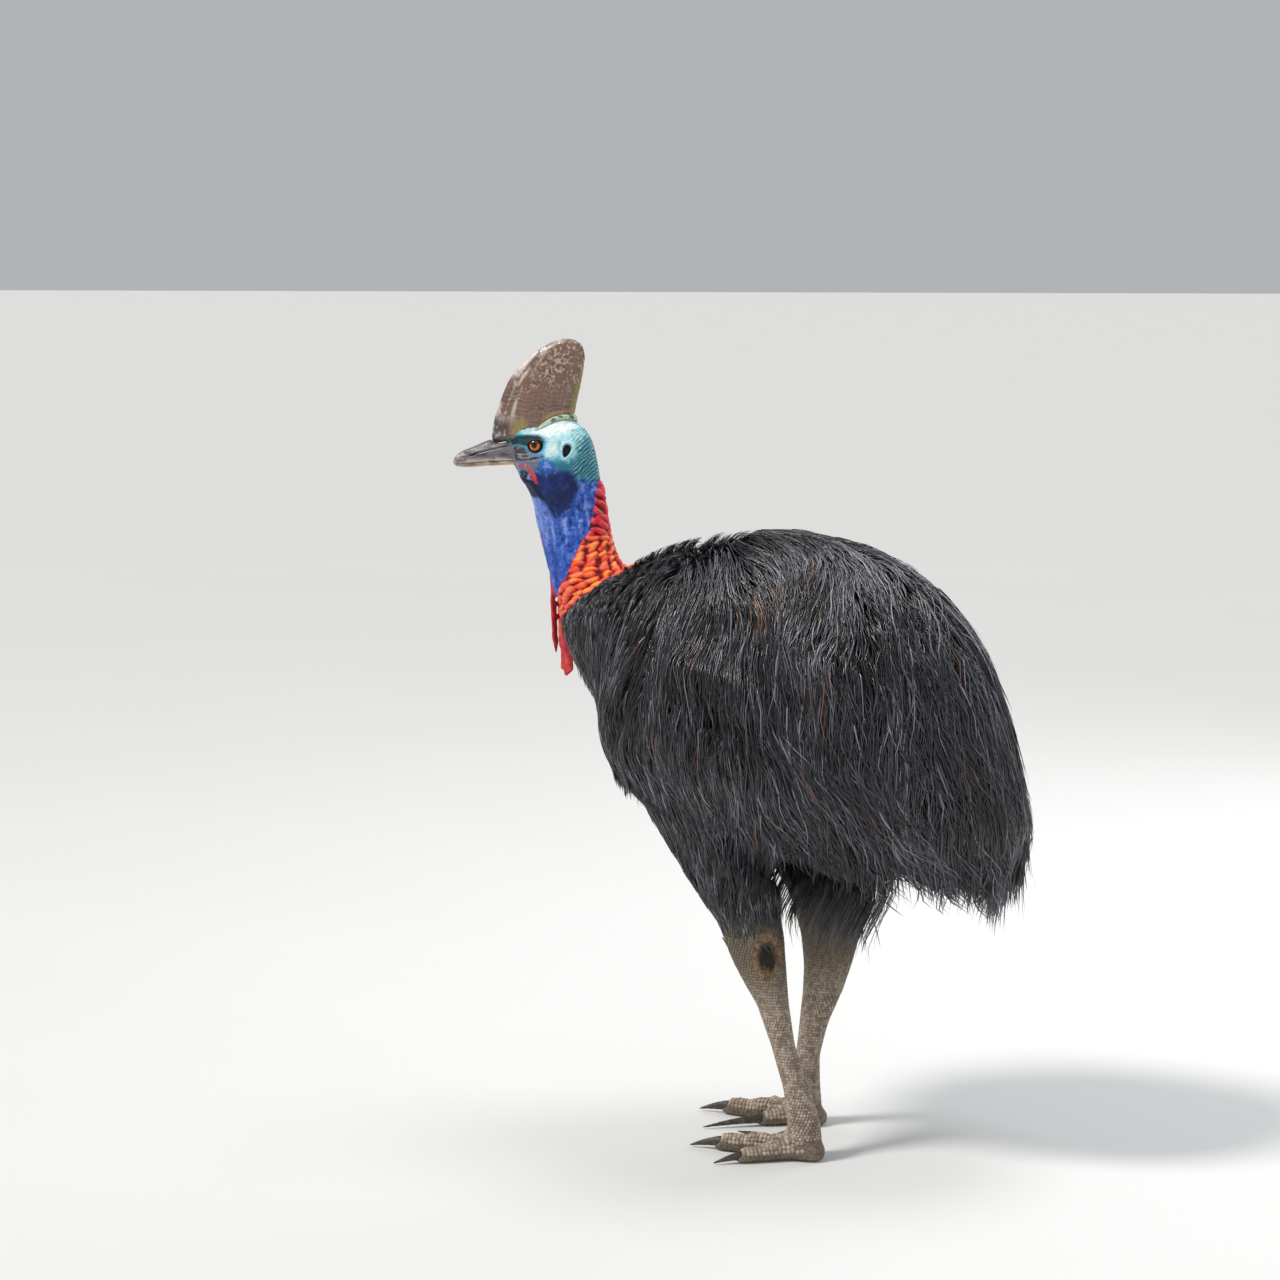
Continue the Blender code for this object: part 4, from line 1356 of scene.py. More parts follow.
        # Painted shade fills the ear opening.
        wash.over((0.014, 0.020, 0.024), smooth_step(1.12, 0.86, hole) * outer)
        spots = smooth_step(-0.30, 0.30, ripple(places, 0.0034, 44))
        band = way_to_line(chart, ((0.0735, -0.0165), (0.0588, -0.0239), (0.0490, -0.0430)))
        wash.over((0.700, 0.014, 0.040), smooth_step(0.0062, 0.0030, band) * spots)
        mouth = bell(above - np.interp(forward, MOUTH_FORWARD, MOUTH_UP), 0.0013)
        on_line = smooth_step(0.041, 0.048, forward) * smooth_step(0.110, 0.100, forward)
        wash.over((0.020, 0.018, 0.022), mouth * on_line * 0.9)
        nearest = np.full(len(places), 9.0)
        for edge in (CUFF, [(f, u, -s) for f, u, s, _r in CUFF]):
            nearest = np.minimum(nearest, way_to_line(local, [point[:3] for point in edge]))
        ridge = smooth_step(0.0062, 0.0042, nearest) * smooth_step(0.058, 0.046, forward)
        groove = (
            bell(nearest - 0.0068, 0.0016)
            * (above < np.interp(forward, [-0.018, 0.0035, 0.05], [0.064, 0.066, 0.048]))
        )
        # Painted shade in the groove beside the collar's fold.
        wash.over((0.020, 0.075, 0.075), groove * smooth_step(0.058, 0.046, forward) * 0.9)
        wash.over((0.500, 0.640, 0.430), ridge)
        wash.over(
            (0.100, 0.190, 0.110),
            ridge * smooth_step(0.0, 0.55, ripple(local * np.array([0.3, 1, 1]), 0.003, 54)),
        )

    def red_parts(
        self, wash: Wash, places: Array, angle: Array, up: Array, rolls: Array, roll_id: Array, on_head: Array
    ) -> Array:
        """Paints the red and orange nape, with painted highlights on the tops of its rolls and painted shade
        in the creases between them, and the thin red line down the front.

        Args:
            wash: The colours so far.
            places: The skin's vertices.
            angle: Angle of each from the nape.
            up: Height of each below the skull.
            rolls: Height of the nape's rolls.
            roll_id: A number for each roll.
            on_head: True on the head and neck.

        Returns:
            How red each vertex is.
        """
        limit = np.radians(np.interp(up, RED_UP, RED_ANGLE))
        wobble = ripple(places, 0.008, 51) * 0.08
        red = (1 - smooth_step(-0.05, 0.04, np.abs(angle) - limit + wobble)) * on_head
        low = smooth_step(-0.118, -0.145, up + ripple(places, 0.014, 52) * 0.010)
        base = Wash(self.crimson, len(places))
        base.over(self.scarlet, low)
        # Painted highlights on the rolls' tops: orange on the lower rolls, partly their own orange and partly
        # painted highlight; yellow on the tops of the warm rolls; a lighter crimson on the upper pleats.
        ridge = smooth_step(0.35, 0.90, rolls)
        warm = low * smooth_step(0.10, 0.65, roll_id)
        base.over(self.orange, ridge * (0.35 + 0.65 * warm) * low)
        base.over(self.yellow, smooth_step(0.80, 1.0, rolls) * warm * 0.75)
        base.over((0.90, 0.018, 0.040), ridge * (1 - low) * 0.7)
        side = smooth_step(1.35, 2.0, np.abs(angle)) * smooth_step(-0.195, -0.225, up)
        base.over(self.salmon, side * 0.5)
        # Painted shade: near black in the creases between the rolls.
        base.over((0, 0, 0), 0.78 * smooth_step(0.40, 0.02, rolls))
        line = smooth_step(2.86, 3.00, np.abs(angle) + ripple(places, 0.01, 53) * 0.06)
        line = line * smooth_step(-0.125, -0.150, up) * on_head
        wash.over(base.colours, red)
        wash.over(self.crimson, line)
        return np.maximum(red, line)

    def wattle_colours(self, wash: Wash, places: Array, wattle: Array) -> None:
        """Crimson wattles, more orange down their faces."""
        mottled = smooth_step(-0.4, 0.5, ripple(places, 0.012, 61))
        base = Wash((0.56, 0.006, 0.022), len(places))
        base.over((0.60, 0.045, 0.020), mottled * 0.8)
        base.over((0.86, 0.080, 0.100), smooth_step(0.3, 0.8, ripple(places, 0.005, 62)) * 0.35)
        wash.over(base.colours, wattle)


@dataclass
class Casque:
    """The horn crest on the head."""

    voxel: float = 0.0019
    finish: HornFinish = HornFinish("casque_horn", 26.0, 260.0, 0.27, 0.20, 0.0006)
    brown: Colour = (0.200, 0.108, 0.080)
    dark: Colour = (0.085, 0.045, 0.034)
    cream: Colour = (0.520, 0.385, 0.280)
    sheen: Colour = (0.740, 0.620, 0.570)

    def build(self) -> bpy.types.Object:
        """Shapes the casque from its solid.

        Returns:
            The casque.
        """
        piece = node_copy("casque", "casque_horn_crest")
        finish_modifier(piece, "SUBSURF", levels=1, render_levels=1)
        finish_modifier(piece, "REMESH", mode="VOXEL", voxel_size=self.voxel)
        relax(piece.data, 12, 0.5)
        places, normals = places_of(piece.data), normals_of(piece.data)
        local = HEAD.local(places)
        forward, up, side = local[:, 0], local[:, 1], local[:, 2]
        front = np.interp(up, [0.0, 0.03, 0.06, 0.0925, 0.125, 0.155, 0.1815, 0.2], CASQUE_FRONT)
        rear = np.interp(
            up, [0.0, 0.06, 0.10, 0.15, 0.17, 0.2], [-0.002, -0.0135, -0.0215, -0.032, -0.033, -0.017]
        )
        across = np.clip((front - forward) / (front - rear), 0, 1)
        lift = (
            0.0008 * smooth_step(0.16, 0.02, across) * smooth_step(0.02, 0.06, up)
            - 0.0007 * bell(across - 0.19, 0.05)
        )
        lift += 0.0008 * ripple(local * np.array([1, 0.4, 1]), 0.014, 71) + 0.0004 * ripple(local, 0.005, 72)
        lift -= 0.0008 * bell(across - 0.93, 0.04)
        set_places(piece.data, places + normals * lift[:, None])
        keep_vectors(piece.data, "flow", np.stack([up * 0.35, across * 1.5, side * 7.0], axis=1))
        keep_values(piece.data, "tint", np.clip(self.colours(local, across), 0, 1))
        piece.data.shade_smooth()
        return dress(piece, self.finish.material(), "casque_horn", "casque")

    def colours(self, local: Array, across: Array) -> Array:
        """Brown horn with a painted highlight in pale streaks down the front, cream flakes high at the back
        and an olive foot.
        """
        forward, up = local[:, 0], local[:, 1]
        broad, fine = ripple(local, 0.014, 73), ripple(local, 0.0048, 74)
        streak = ripple(np.stack([across * 0.13, up * 0.22, local[:, 2] * 0.4], axis=1), 0.0060, 75)
        wash = Wash(self.brown, len(local))
        wash.over(self.dark, smooth_step(0.0, 0.8, broad + 0.4 * fine) * 0.8)
        waves = np.sin(up / 0.0036 * math.pi + ripple(local, 0.010, 76) * 3)
        wash.over((0.36, 0.235, 0.175), smooth_step(0.3, 0.9, waves) * smooth_step(0.13, 0.09, up) * 0.45)
        high = smooth_step(0.085, 0.140, up + 0.020 * broad) * smooth_step(0.16, 0.34, across + 0.06 * broad)
        flakes = smooth_step(0.02, 0.40, 0.45 * fine + 0.95 * ripple(local, 0.0024, 77) + 0.35 * broad)
        wash.over(self.cream, high * flakes)
        front = smooth_step(0.42, 0.10, across + 0.05 * broad)
        # Painted highlight: a pale sheen in streaks down the front edge.
        wash.over(
            self.sheen,
            front * smooth_step(-0.25, 0.55, streak + 0.3 * fine) * smooth_step(0.045, 0.075, up),
        )
        spot = np.hypot((forward - 0.0800) / 0.0170, (up - 0.0480) / 0.0210) + 0.30 * broad + 0.25 * fine
        wash.over((0.330, 0.270, 0.090), smooth_step(1.25, 0.20, spot) * 0.80)
        foot = smooth_step(0.074, 0.050, up + 0.01 * broad) * smooth_step(0.090, 0.104, forward)
        wash.over((0.075, 0.058, 0.056), foot * 0.9)
        wash.over((0.460, 0.390, 0.370), foot * smooth_step(0.15, 0.6, fine) * 0.8)
        hem = way_to_line(local[:, :2], COLLAR_EDGE)
        wash.over((0.520, 0.290, 0.120), bell(hem - 0.0045, 0.0028) * smooth_step(0.05, 0.03, forward) * 0.7)
        wash.over((0.300, 0.280, 0.080), smooth_step(0.90, 0.97, across) * smooth_step(0.17, 0.12, up) * 0.85)
        return wash.colours


CASQUE_FRONT = (0.1335, 0.1335, 0.1270, 0.1180, 0.1040, 0.0800, 0.0500, 0.0040)


@dataclass
class Bill:
    """The two horn halves of the bill."""

    voxel: float = 0.00125
    finish: HornFinish = HornFinish("bill_horn", 330.0, 420.0, 0.36, 0.10, 0.0003)
    dark: Colour = (0.040, 0.036, 0.042)
    grey: Colour = (0.161, 0.146, 0.165)
    pale: Colour = (0.560, 0.520, 0.520)
    yellow: Colour = (0.700, 0.400, 0.070)

    def build(self) -> list[bpy.types.Object]:
        """Shapes both halves from their solids.

        Returns:
            The upper and the lower half.
        """
        material = self.finish.material()
        return [self.half(name, material) for name in ("bill_upper", "bill_lower")]

    def half(self, node: str, material: bpy.types.Material) -> bpy.types.Object:
        """Shapes one half: the nostril and the groove behind it, worn edges and the horn's colours.

        Args:
            node: The CAD node.
            material: The bill's material.

        Returns:
            The finished half.
        """
        piece = node_copy(node, f"{node}_horn")
        finish_modifier(piece, "REMESH", mode="VOXEL", voxel_size=self.voxel)
        relax(piece.data, 5, 0.5)
        places, normals = places_of(piece.data), normals_of(piece.data)
        local = HEAD.local(places)
        forward, up, side = local[:, 0], local[:, 1], np.abs(local[:, 2])
        above = up - np.interp(forward, [0.042, 0.195], [-0.0045, -0.0165])
        along_horn = local * np.array([0.5, 1, 1])
        broad, fine = ripple(along_horn, 0.009, 82), ripple(along_horn, 0.0035, 83)
        lift = 0.0003 * ripple(local * np.array([0.4, 1, 1]), 0.006, 81)
        wash = Wash(self.grey, len(places))
        wash.over(self.dark, smooth_step(-0.1, 0.6, broad + 0.4 * fine) * 0.85)
        if node == "bill_upper":
            line = np.interp(
                forward, [0.090, 0.101, 0.1525, 0.166, 0.185], [0.0185, 0.0165, 0.0035, -0.0010, -0.0070]
            )
            groove = (
                bell(up - line, 0.0015)
                * smooth_step(0.092, 0.104, forward)
                * smooth_step(0.172, 0.160, forward)
            )
            slit = bell(up - line, 0.0017) * bell(forward - 0.163, 0.0070)
            lift -= (0.0016 * groove + 0.0028 * slit) * (side > 0.003)
            lift += 0.0007 * bell(above - 0.0026, 0.0020)
            worn = np.maximum(
                bell(above - 0.0018, 0.0034), 0.8 * smooth_step(0.168, 0.190, forward + 0.01 * fine)
            )
            wash.over(self.pale, worn * smooth_step(-0.5, 0.4, fine) * 0.85)
            wash.over(self.pale, bell(up - line - 0.0045, 0.0022) * smooth_step(-0.2, 0.5, fine) * 0.7)
            wash.over(
                (0.560, 0.430, 0.340), bell(above - 0.0020, 0.0042) * smooth_step(-0.6, 0.2, fine) * 0.85
            )
            wash.over((0.012, 0.011, 0.012), np.clip(groove + 1.3 * slit, 0, 1) * 0.92 * (side > 0.003))
        else:
            wash.over((0.500, 0.380, 0.280), 0.85 + 0.15 * fine)
            wash.over((0.640, 0.520, 0.420), smooth_step(0.1, 0.6, fine) * 0.75)
            wash.over((0.110, 0.072, 0.045), smooth_step(0.15, 0.65, broad) * 0.65)
            warm = smooth_step(0.150, 0.110, forward) * smooth_step(-0.0040, -0.0075, above)
            wash.over(self.yellow, warm * 0.85)
        set_places(piece.data, places + normals * lift[:, None])
        keep_vectors(piece.data, "flow", local * np.array([0.18, 1.0, 1.0]))
        keep_values(piece.data, "tint", np.clip(wash.colours, 0, 1))
        piece.data.shade_smooth()
        return dress(piece, material, "bill_horn", node)


@dataclass
class Eyes:
    """The two eyeballs, each with a slight bulge over its iris."""

    radius: float = 0.0150
    place: tuple[float, float, float] = (0.0496, 0.0180, 0.0240)
    bulge: float = 0.0006
    finish: EyeFinish = field(default_factory=EyeFinish)

    def build(self) -> list[bpy.types.Object]:
        """Makes one eye and its mirror image.

        Returns:
            Both eyes.
        """
        material = self.finish.material()
        return [self.eye(side, material) for side in Side]

    def eye(self, side: Side, material: bpy.types.Material) -> bpy.types.Object:
        """Models one eyeball with its pole on its axis.

        Args:
            side: Which eye.
            material: The eye's material.

        Returns:
            The eyeball.
        """
        bpy.ops.object.select_all(action="DESELECT")
        bpy.ops.mesh.primitive_uv_sphere_add(
            segments=48, ring_count=32, radius=self.radius, location=(0, 0, 0)
        )
        piece = bpy.context.view_layer.objects.active
        piece.name = f"eyeball_{side.label}"
        places = places_of(piece.data)
        angle = np.arccos(np.clip(places[:, 2] / self.radius, -1, 1))
        swell = 1 + self.bulge / self.radius * np.clip(1 - (angle / 0.75) ** 2, 0, 1)
        ray = np.stack([places[:, 0], places[:, 1], np.zeros(len(places))], axis=1)
        ray /= np.maximum(np.linalg.norm(ray, axis=1, keepdims=True), 1e-6)
        set_places(piece.data, places * swell[:, None])
        keep_values(piece.data, "angle", angle)
        keep_vectors(piece.data, "ray", ray + np.stack([angle * 0] * 2 + [angle * 0.5], axis=1))
        axis = HEAD.world(0.10, 0.0, side.value) - HEAD.world(0.0, 0.0, 0.0)
        turn = axis.to_track_quat("Z", "Y").to_matrix().to_4x4()
        centre = HEAD.world(self.place[0], self.place[1], self.place[2] * side.value)
        piece.data.transform(Matrix.Translation(centre) @ turn)
        piece.data.shade_smooth()
        return dress(piece, material, "eye", f"eye_{side.label}")


@dataclass
class Claws:
    """The six claws, the inner ones long and straight."""

    finish: ClawFinish = field(default_factory=ClawFinish)

    def build(self) -> None:
        """Rounds each claw's solid and roughens it a little."""
        material = self.finish.material()
        for side, digit in product(Side, ("inner", "middle", "outer")):
            node = f"claw_{digit}_{side.label}"
            piece = node_copy(node, f"{node}_horn")
            finish_modifier(piece, "SUBSURF", levels=2, render_levels=2)
            places, normals = places_of(piece.data), normals_of(piece.data)
            lift = 0.0003 * ripple(places, 0.004, 91) + 0.0002
            set_places(piece.data, places + normals * lift[:, None])
            piece.data.shade_smooth()
            dress(piece, material, "claw_horn", node)


@dataclass(frozen=True)
class LegPath:
    """The middle of one bare leg at each height, its foot, where its feathers end and its callus."""

    side: Side
    heights: tuple[float, ...]
    depths: tuple[float, ...]
    foot_y: float
    feather_edge: float
    edge_slope: float
    callus: tuple[float, float, float]

    def pad_distance(self, places: Array) -> Array:
        """Distance of places from the middle of the bare pad outside the hock, where 1 is its edge."""
        return np.linalg.norm((np.atleast_2d(places) - self.callus) / CALLUS_RADII, axis=1)

    def middle(self, height: float) -> Vector:
        """The leg's middle at a height."""
        return Vector((0.100 * self.side.value, float(np.interp(height, self.heights, self.depths)), height))


LEGS = (
    LegPath(
        Side.LEFT,
        (0.026, 0.064, 0.118, 0.191, 0.261, 0.298, 0.342, 0.368),
        (0.1603, 0.1588, 0.1463, 0.1213, 0.1028, 0.0893, 0.0758, 0.0703),
        0.1583,
        0.342,
        0.042,
        (0.1230, 0.1005, 0.3450),
    ),
    LegPath(
        Side.RIGHT,
        (0.026, 0.064, 0.118, 0.180, 0.241, 0.288, 0.338, 0.391),
        (0.0928, 0.0923, 0.0968, 0.1078, 0.1243, 0.1333, 0.1373, 0.1363),
        0.0943,
        0.382,
        0.008,
        (-0.1230, 0.1620, 0.3350),
    ),
)

# Each toe's heading outward of straight ahead, in degrees, its length and its radius
CALLUS_RADII = np.array([0.030, 0.0250, 0.0420])
TOES = {"inner": (-33.0, 0.082, 0.0165), "middle": (2.0, 0.150, 0.0195), "outer": (36.0, 0.112, 0.0165)}


@dataclass
class Scales:
    """The horny scales of the shanks and toes, each a low solid plate bedded in the skin."""

    size: float = 0.0055
    thickness: float = 0.0011
    pad_margin: float = 0.98
    finish: ScaleFinish = field(default_factory=ScaleFinish)

    def build(self, skin: bpy.types.Object) -> list[bpy.types.Object]:
        """Covers both legs.

        Args:
            skin: The skin that the scales sit on.

        Returns:
            One piece per leg.
        """
        tree = tree_of(skin)
        material = self.finish.material()
        rng = np.random.default_rng(5)
        pieces = []
        for leg in LEGS:
            plates = [*self.shank_plates(leg, tree, rng), *self.toe_plates(leg, tree, rng)]
            pieces.append(self.piece(f"scales_{leg.side.label}", plates, material, rng))
        return pieces

    def shank_plates(self, leg: LegPath, tree: BVHTree, rng: np.random.Generator) -> list[tuple]:
        """Rows of small plates round the shank, larger down its front."""
        plates = []
        height, row = 0.040, 0
        while height < leg.feather_edge + 0.03:
            middle = leg.middle(height)
            around = 2 * math.pi * 0.024 if height < 0.24 else 2 * math.pi * 0.036
            count = max(12, round(around / (self.size * 1.02)))
            for k in range(count):
                turn = 2 * math.pi * (k + 0.5 * (row % 2) + rng.uniform(-0.10, 0.10)) / count
                way = Vector((math.sin(turn), -math.cos(turn), 0))
                place, normal, _index, _distance = tree.ray_cast(middle, way, 0.09)
                if place is None or normal.z < -0.5:
                    continue
                if leg.pad_distance(place)[0] < self.pad_margin:
                    continue
                ahead = max(0.0, math.cos(turn))
                big = 1 + 0.35 * ahead**6 + rng.uniform(-0.12, 0.12)
                plates.append(
                    (place, normal, Vector((0, 0, 1)), self.size * 0.56 * big, self.size * 0.60 * big)
                )
            height += self.size * 0.90
            row += 1
        return plates

    def toe_plates(self, leg: LegPath, tree: BVHTree, rng: np.random.Generator) -> list[tuple]:
        """Rows of plates over the top and sides of each toe."""
        plates = []
        for heading, length, radius in TOES.values():
            turn = math.radians(heading) * leg.side.value
            ahead = Vector((math.sin(turn), -math.cos(turn), 0))
            across = Vector((ahead.y, -ahead.x, 0))
            root = Vector((0.100 * leg.side.value, leg.foot_y, radius * 0.9))
            step = 0.0068
            for i in range(int(length / step) + 1):
                middle = root + ahead * (0.010 + i * step)
                for angle in (-78, -52, -25, 0, 25, 52, 78):
                    lean = math.radians(angle + rng.uniform(-3, 3))
                    way = Vector((0, 0, 1)) * math.cos(lean) + across * math.sin(lean)
                    place, normal, _index, _distance = tree.ray_cast(middle, way, 0.05)
                    if place is None:
                        continue
                    wide = 0.0040 if abs(angle) > 30 else 0.0052
                    plates.append((place, normal, ahead, wide, step * 0.60))
        return plates

    def piece(
        self, name: str, plates: list[tuple], material: bpy.types.Material, rng: np.random.Generator
    ) -> bpy.types.Object:
        """Joins copies of one six-sided plate.

        Args:
            name: The piece's name.
            plates: Place, normal, way up, half width and half height of each plate.
            material: The scales' material.
            rng: Source of each plate's tone.

        Returns:
            The piece.
        """
        turns = np.radians(np.arange(6) * 60)
        ring = np.stack([np.cos(turns), np.sin(turns)], axis=1)
        flat = np.concatenate([ring * 1.06, ring * 0.80, np.zeros((1, 2)), np.zeros((1, 2))])
        rise = np.array([-0.9] * 6 + [0.75] * 6 + [1.0] + [-1.2])
        faces = []
        for k in range(6):
            n = (k + 1) % 6
            faces += [(k, n, 6 + n), (k, 6 + n, 6 + k), (6 + k, 6 + n, 12), (n, k, 13)]
        places, triangles, tones = [], [], []
        for index, (place, normal, way, half_wide, half_high) in enumerate(plates):
            across = way.cross(normal).normalized()
            along = normal.cross(across)
            basis = np.stack([np.array(across) * half_wide, np.array(along) * half_high])
            body = flat @ basis + np.array(place) + np.outer(rise * self.thickness, np.array(normal))
            body += np.outer(flat[:, 1] * -0.00035, np.array(normal))
            places.append(body)
            triangles.append(np.array(faces) + index * len(flat))
            tones.append(np.full(len(flat), rng.uniform(0, 1)))
        piece = mesh_from_triangles(name, np.concatenate(places), np.concatenate(triangles))
        keep_values(piece.data, "tone", np.concatenate(tones))
        only_select(piece)
        bpy.ops.object.mode_set(mode="EDIT")
        bpy.ops.mesh.select_all(action="SELECT")
        bpy.ops.mesh.normals_make_consistent(inside=False)
        bpy.ops.object.mode_set(mode="OBJECT")
        piece.data.shade_smooth()
        return dress(piece, material, "leg_scales")


class Zone(Enum):
    """The parts of the coat, each a piece or two of its own."""

    NECK = "neck"
    SHOULDER = "shoulder"
    FLANK = "flank"
    LOIN = "loin"
    RUMP = "rump"
    THIGH = "thigh"
    BELLY = "belly"


@dataclass(frozen=True)
class Lock:
    """How the feathers of one zone grow."""

    length: float
    width: float
    per_guide: int
    rings: int
    spread: float
    wave: float
    lift: float


LOCKS = {
    Zone.NECK: Lock(0.046, 0.00105, 13, 4, 0.0085, 0.0012, 0.0022),
    Zone.SHOULDER: Lock(0.090, 0.00130, 10, 5, 0.0105, 0.0026, 0.0034),
    Zone.FLANK: Lock(0.150, 0.00145, 12, 6, 0.0130, 0.0060, 0.0055),
    Zone.LOIN: Lock(0.165, 0.00155, 12, 6, 0.0140, 0.0090, 0.0070),
    Zone.RUMP: Lock(0.215, 0.00170, 9, 7, 0.0165, 0.0160, 0.0110),
    Zone.THIGH: Lock(0.068, 0.00115, 10, 5, 0.0100, 0.0022, 0.0028),
    Zone.BELLY: Lock(0.085, 0.00130, 7, 4, 0.0120, 0.0030, 0.0040),
}
# The fold of plumage behind the shoulder and the brown parting of the back, on the left side
CREASE = (
    (0.149, -0.078, 0.940), (0.184, -0.094, 0.864), (0.194, -0.120, 0.789), (0.182, -0.148, 0.720),
    (0.165, -0.164, 0.699),
)  # fmt: skip
PARTING = ((0.06, 0.114, 1.034), (0.138, 0.081, 0.991), (0.177, 0.035, 0.943))
# How the plumage lies on the left side, read on the photograph, put on the body and rounded: place, direction
LIE = (
    ((0.00, -0.15, 0.99), (0.0, 0.9, -0.3)), ((0.00, 0.02, 1.04), (0.0, 1.0, 0.0)),
    ((0.00, 0.25, 1.00), (0.0, 1.0, -0.4)), ((0.07, -0.25, 0.93), (0.45, -0.3, -0.85)),
    ((0.11, -0.10, 0.96), (0.5, -0.4, -0.75)), ((0.17, -0.02, 0.94), (0.45, -0.3, -0.8)),
    ((0.07, -0.04, 1.02), (0.8, 0.4, -0.4)), ((0.15, -0.14, 0.88), (0.1, -0.4, -0.9)),
    ((0.18, -0.13, 0.79), (0.05, -0.1, -1.0)), ((0.14, -0.18, 0.72), (0.0, 0.0, -1.0)),
    ((0.15, -0.12, 0.60), (-0.15, 0.35, -0.95)), ((0.14, 0.02, 0.99), (0.7, 0.1, -0.7)),
    ((0.10, 0.07, 1.02), (0.5, 0.8, -0.35)), ((0.15, 0.09, 0.97), (0.4, 0.6, -0.6)),
    ((0.21, 0.05, 0.88), (0.3, -0.1, -0.95)), ((0.24, 0.05, 0.79), (0.1, -0.05, -1.0)),
    ((0.07, 0.14, 1.03), (0.6, 0.7, -0.4)), ((0.12, 0.18, 0.99), (0.75, 0.0, -0.65)),
    ((0.04, 0.27, 0.99), (0.7, 0.5, -0.5)), ((0.17, 0.22, 0.91), (0.5, 0.05, -0.85)),
    ((0.11, 0.33, 0.91), (0.5, 0.35, -0.8)), ((0.05, 0.40, 0.88), (0.15, 0.5, -0.85)),
    ((0.22, 0.24, 0.80), (0.25, 0.1, -0.95)), ((0.12, 0.41, 0.79), (0.1, 0.35, -0.95)),
    ((0.23, 0.05, 0.66), (-0.15, 0.05, -1.0)), ((0.24, 0.20, 0.67), (-0.1, 0.35, -0.95)),
    ((0.20, 0.35, 0.67), (0.0, 0.2, -1.0)), ((0.08, 0.47, 0.67), (0.0, 0.2, -1.0)),
    ((0.18, 0.02, 0.54), (-0.15, 0.2, -0.95)), ((0.21, 0.16, 0.56), (-0.35, 0.45, -0.8)),
    ((0.21, 0.31, 0.58), (-0.35, 0.45, -0.8)), ((0.13, 0.45, 0.57), (-0.35, 0.2, -0.9)),
    ((0.17, 0.28, 0.51), (-0.65, 0.4, -0.6)), ((0.00, -0.30, 0.85), (0.0, 0.1, -1.0)),
    ((0.00, -0.25, 0.70), (0.0, 0.35, -0.95)), ((0.00, -0.17, 0.60), (0.0, 0.6, -0.8)),
    ((0.00, 0.50, 0.60), (0.0, 0.0, -1.0)),
)  # fmt: skip


def on_left(places: Array) -> Array:
    """The same places mirrored onto the left side."""
    return places * np.array([0, 1, 1]) + np.abs(places) * np.array([1, 0, 0])


@dataclass
class Guide:
    """One lock's path over the outline of the plumage."""

    zone: Zone
    side: Side
    path: Array
    normals: Array
    depth: float
    length: float
    root: Array


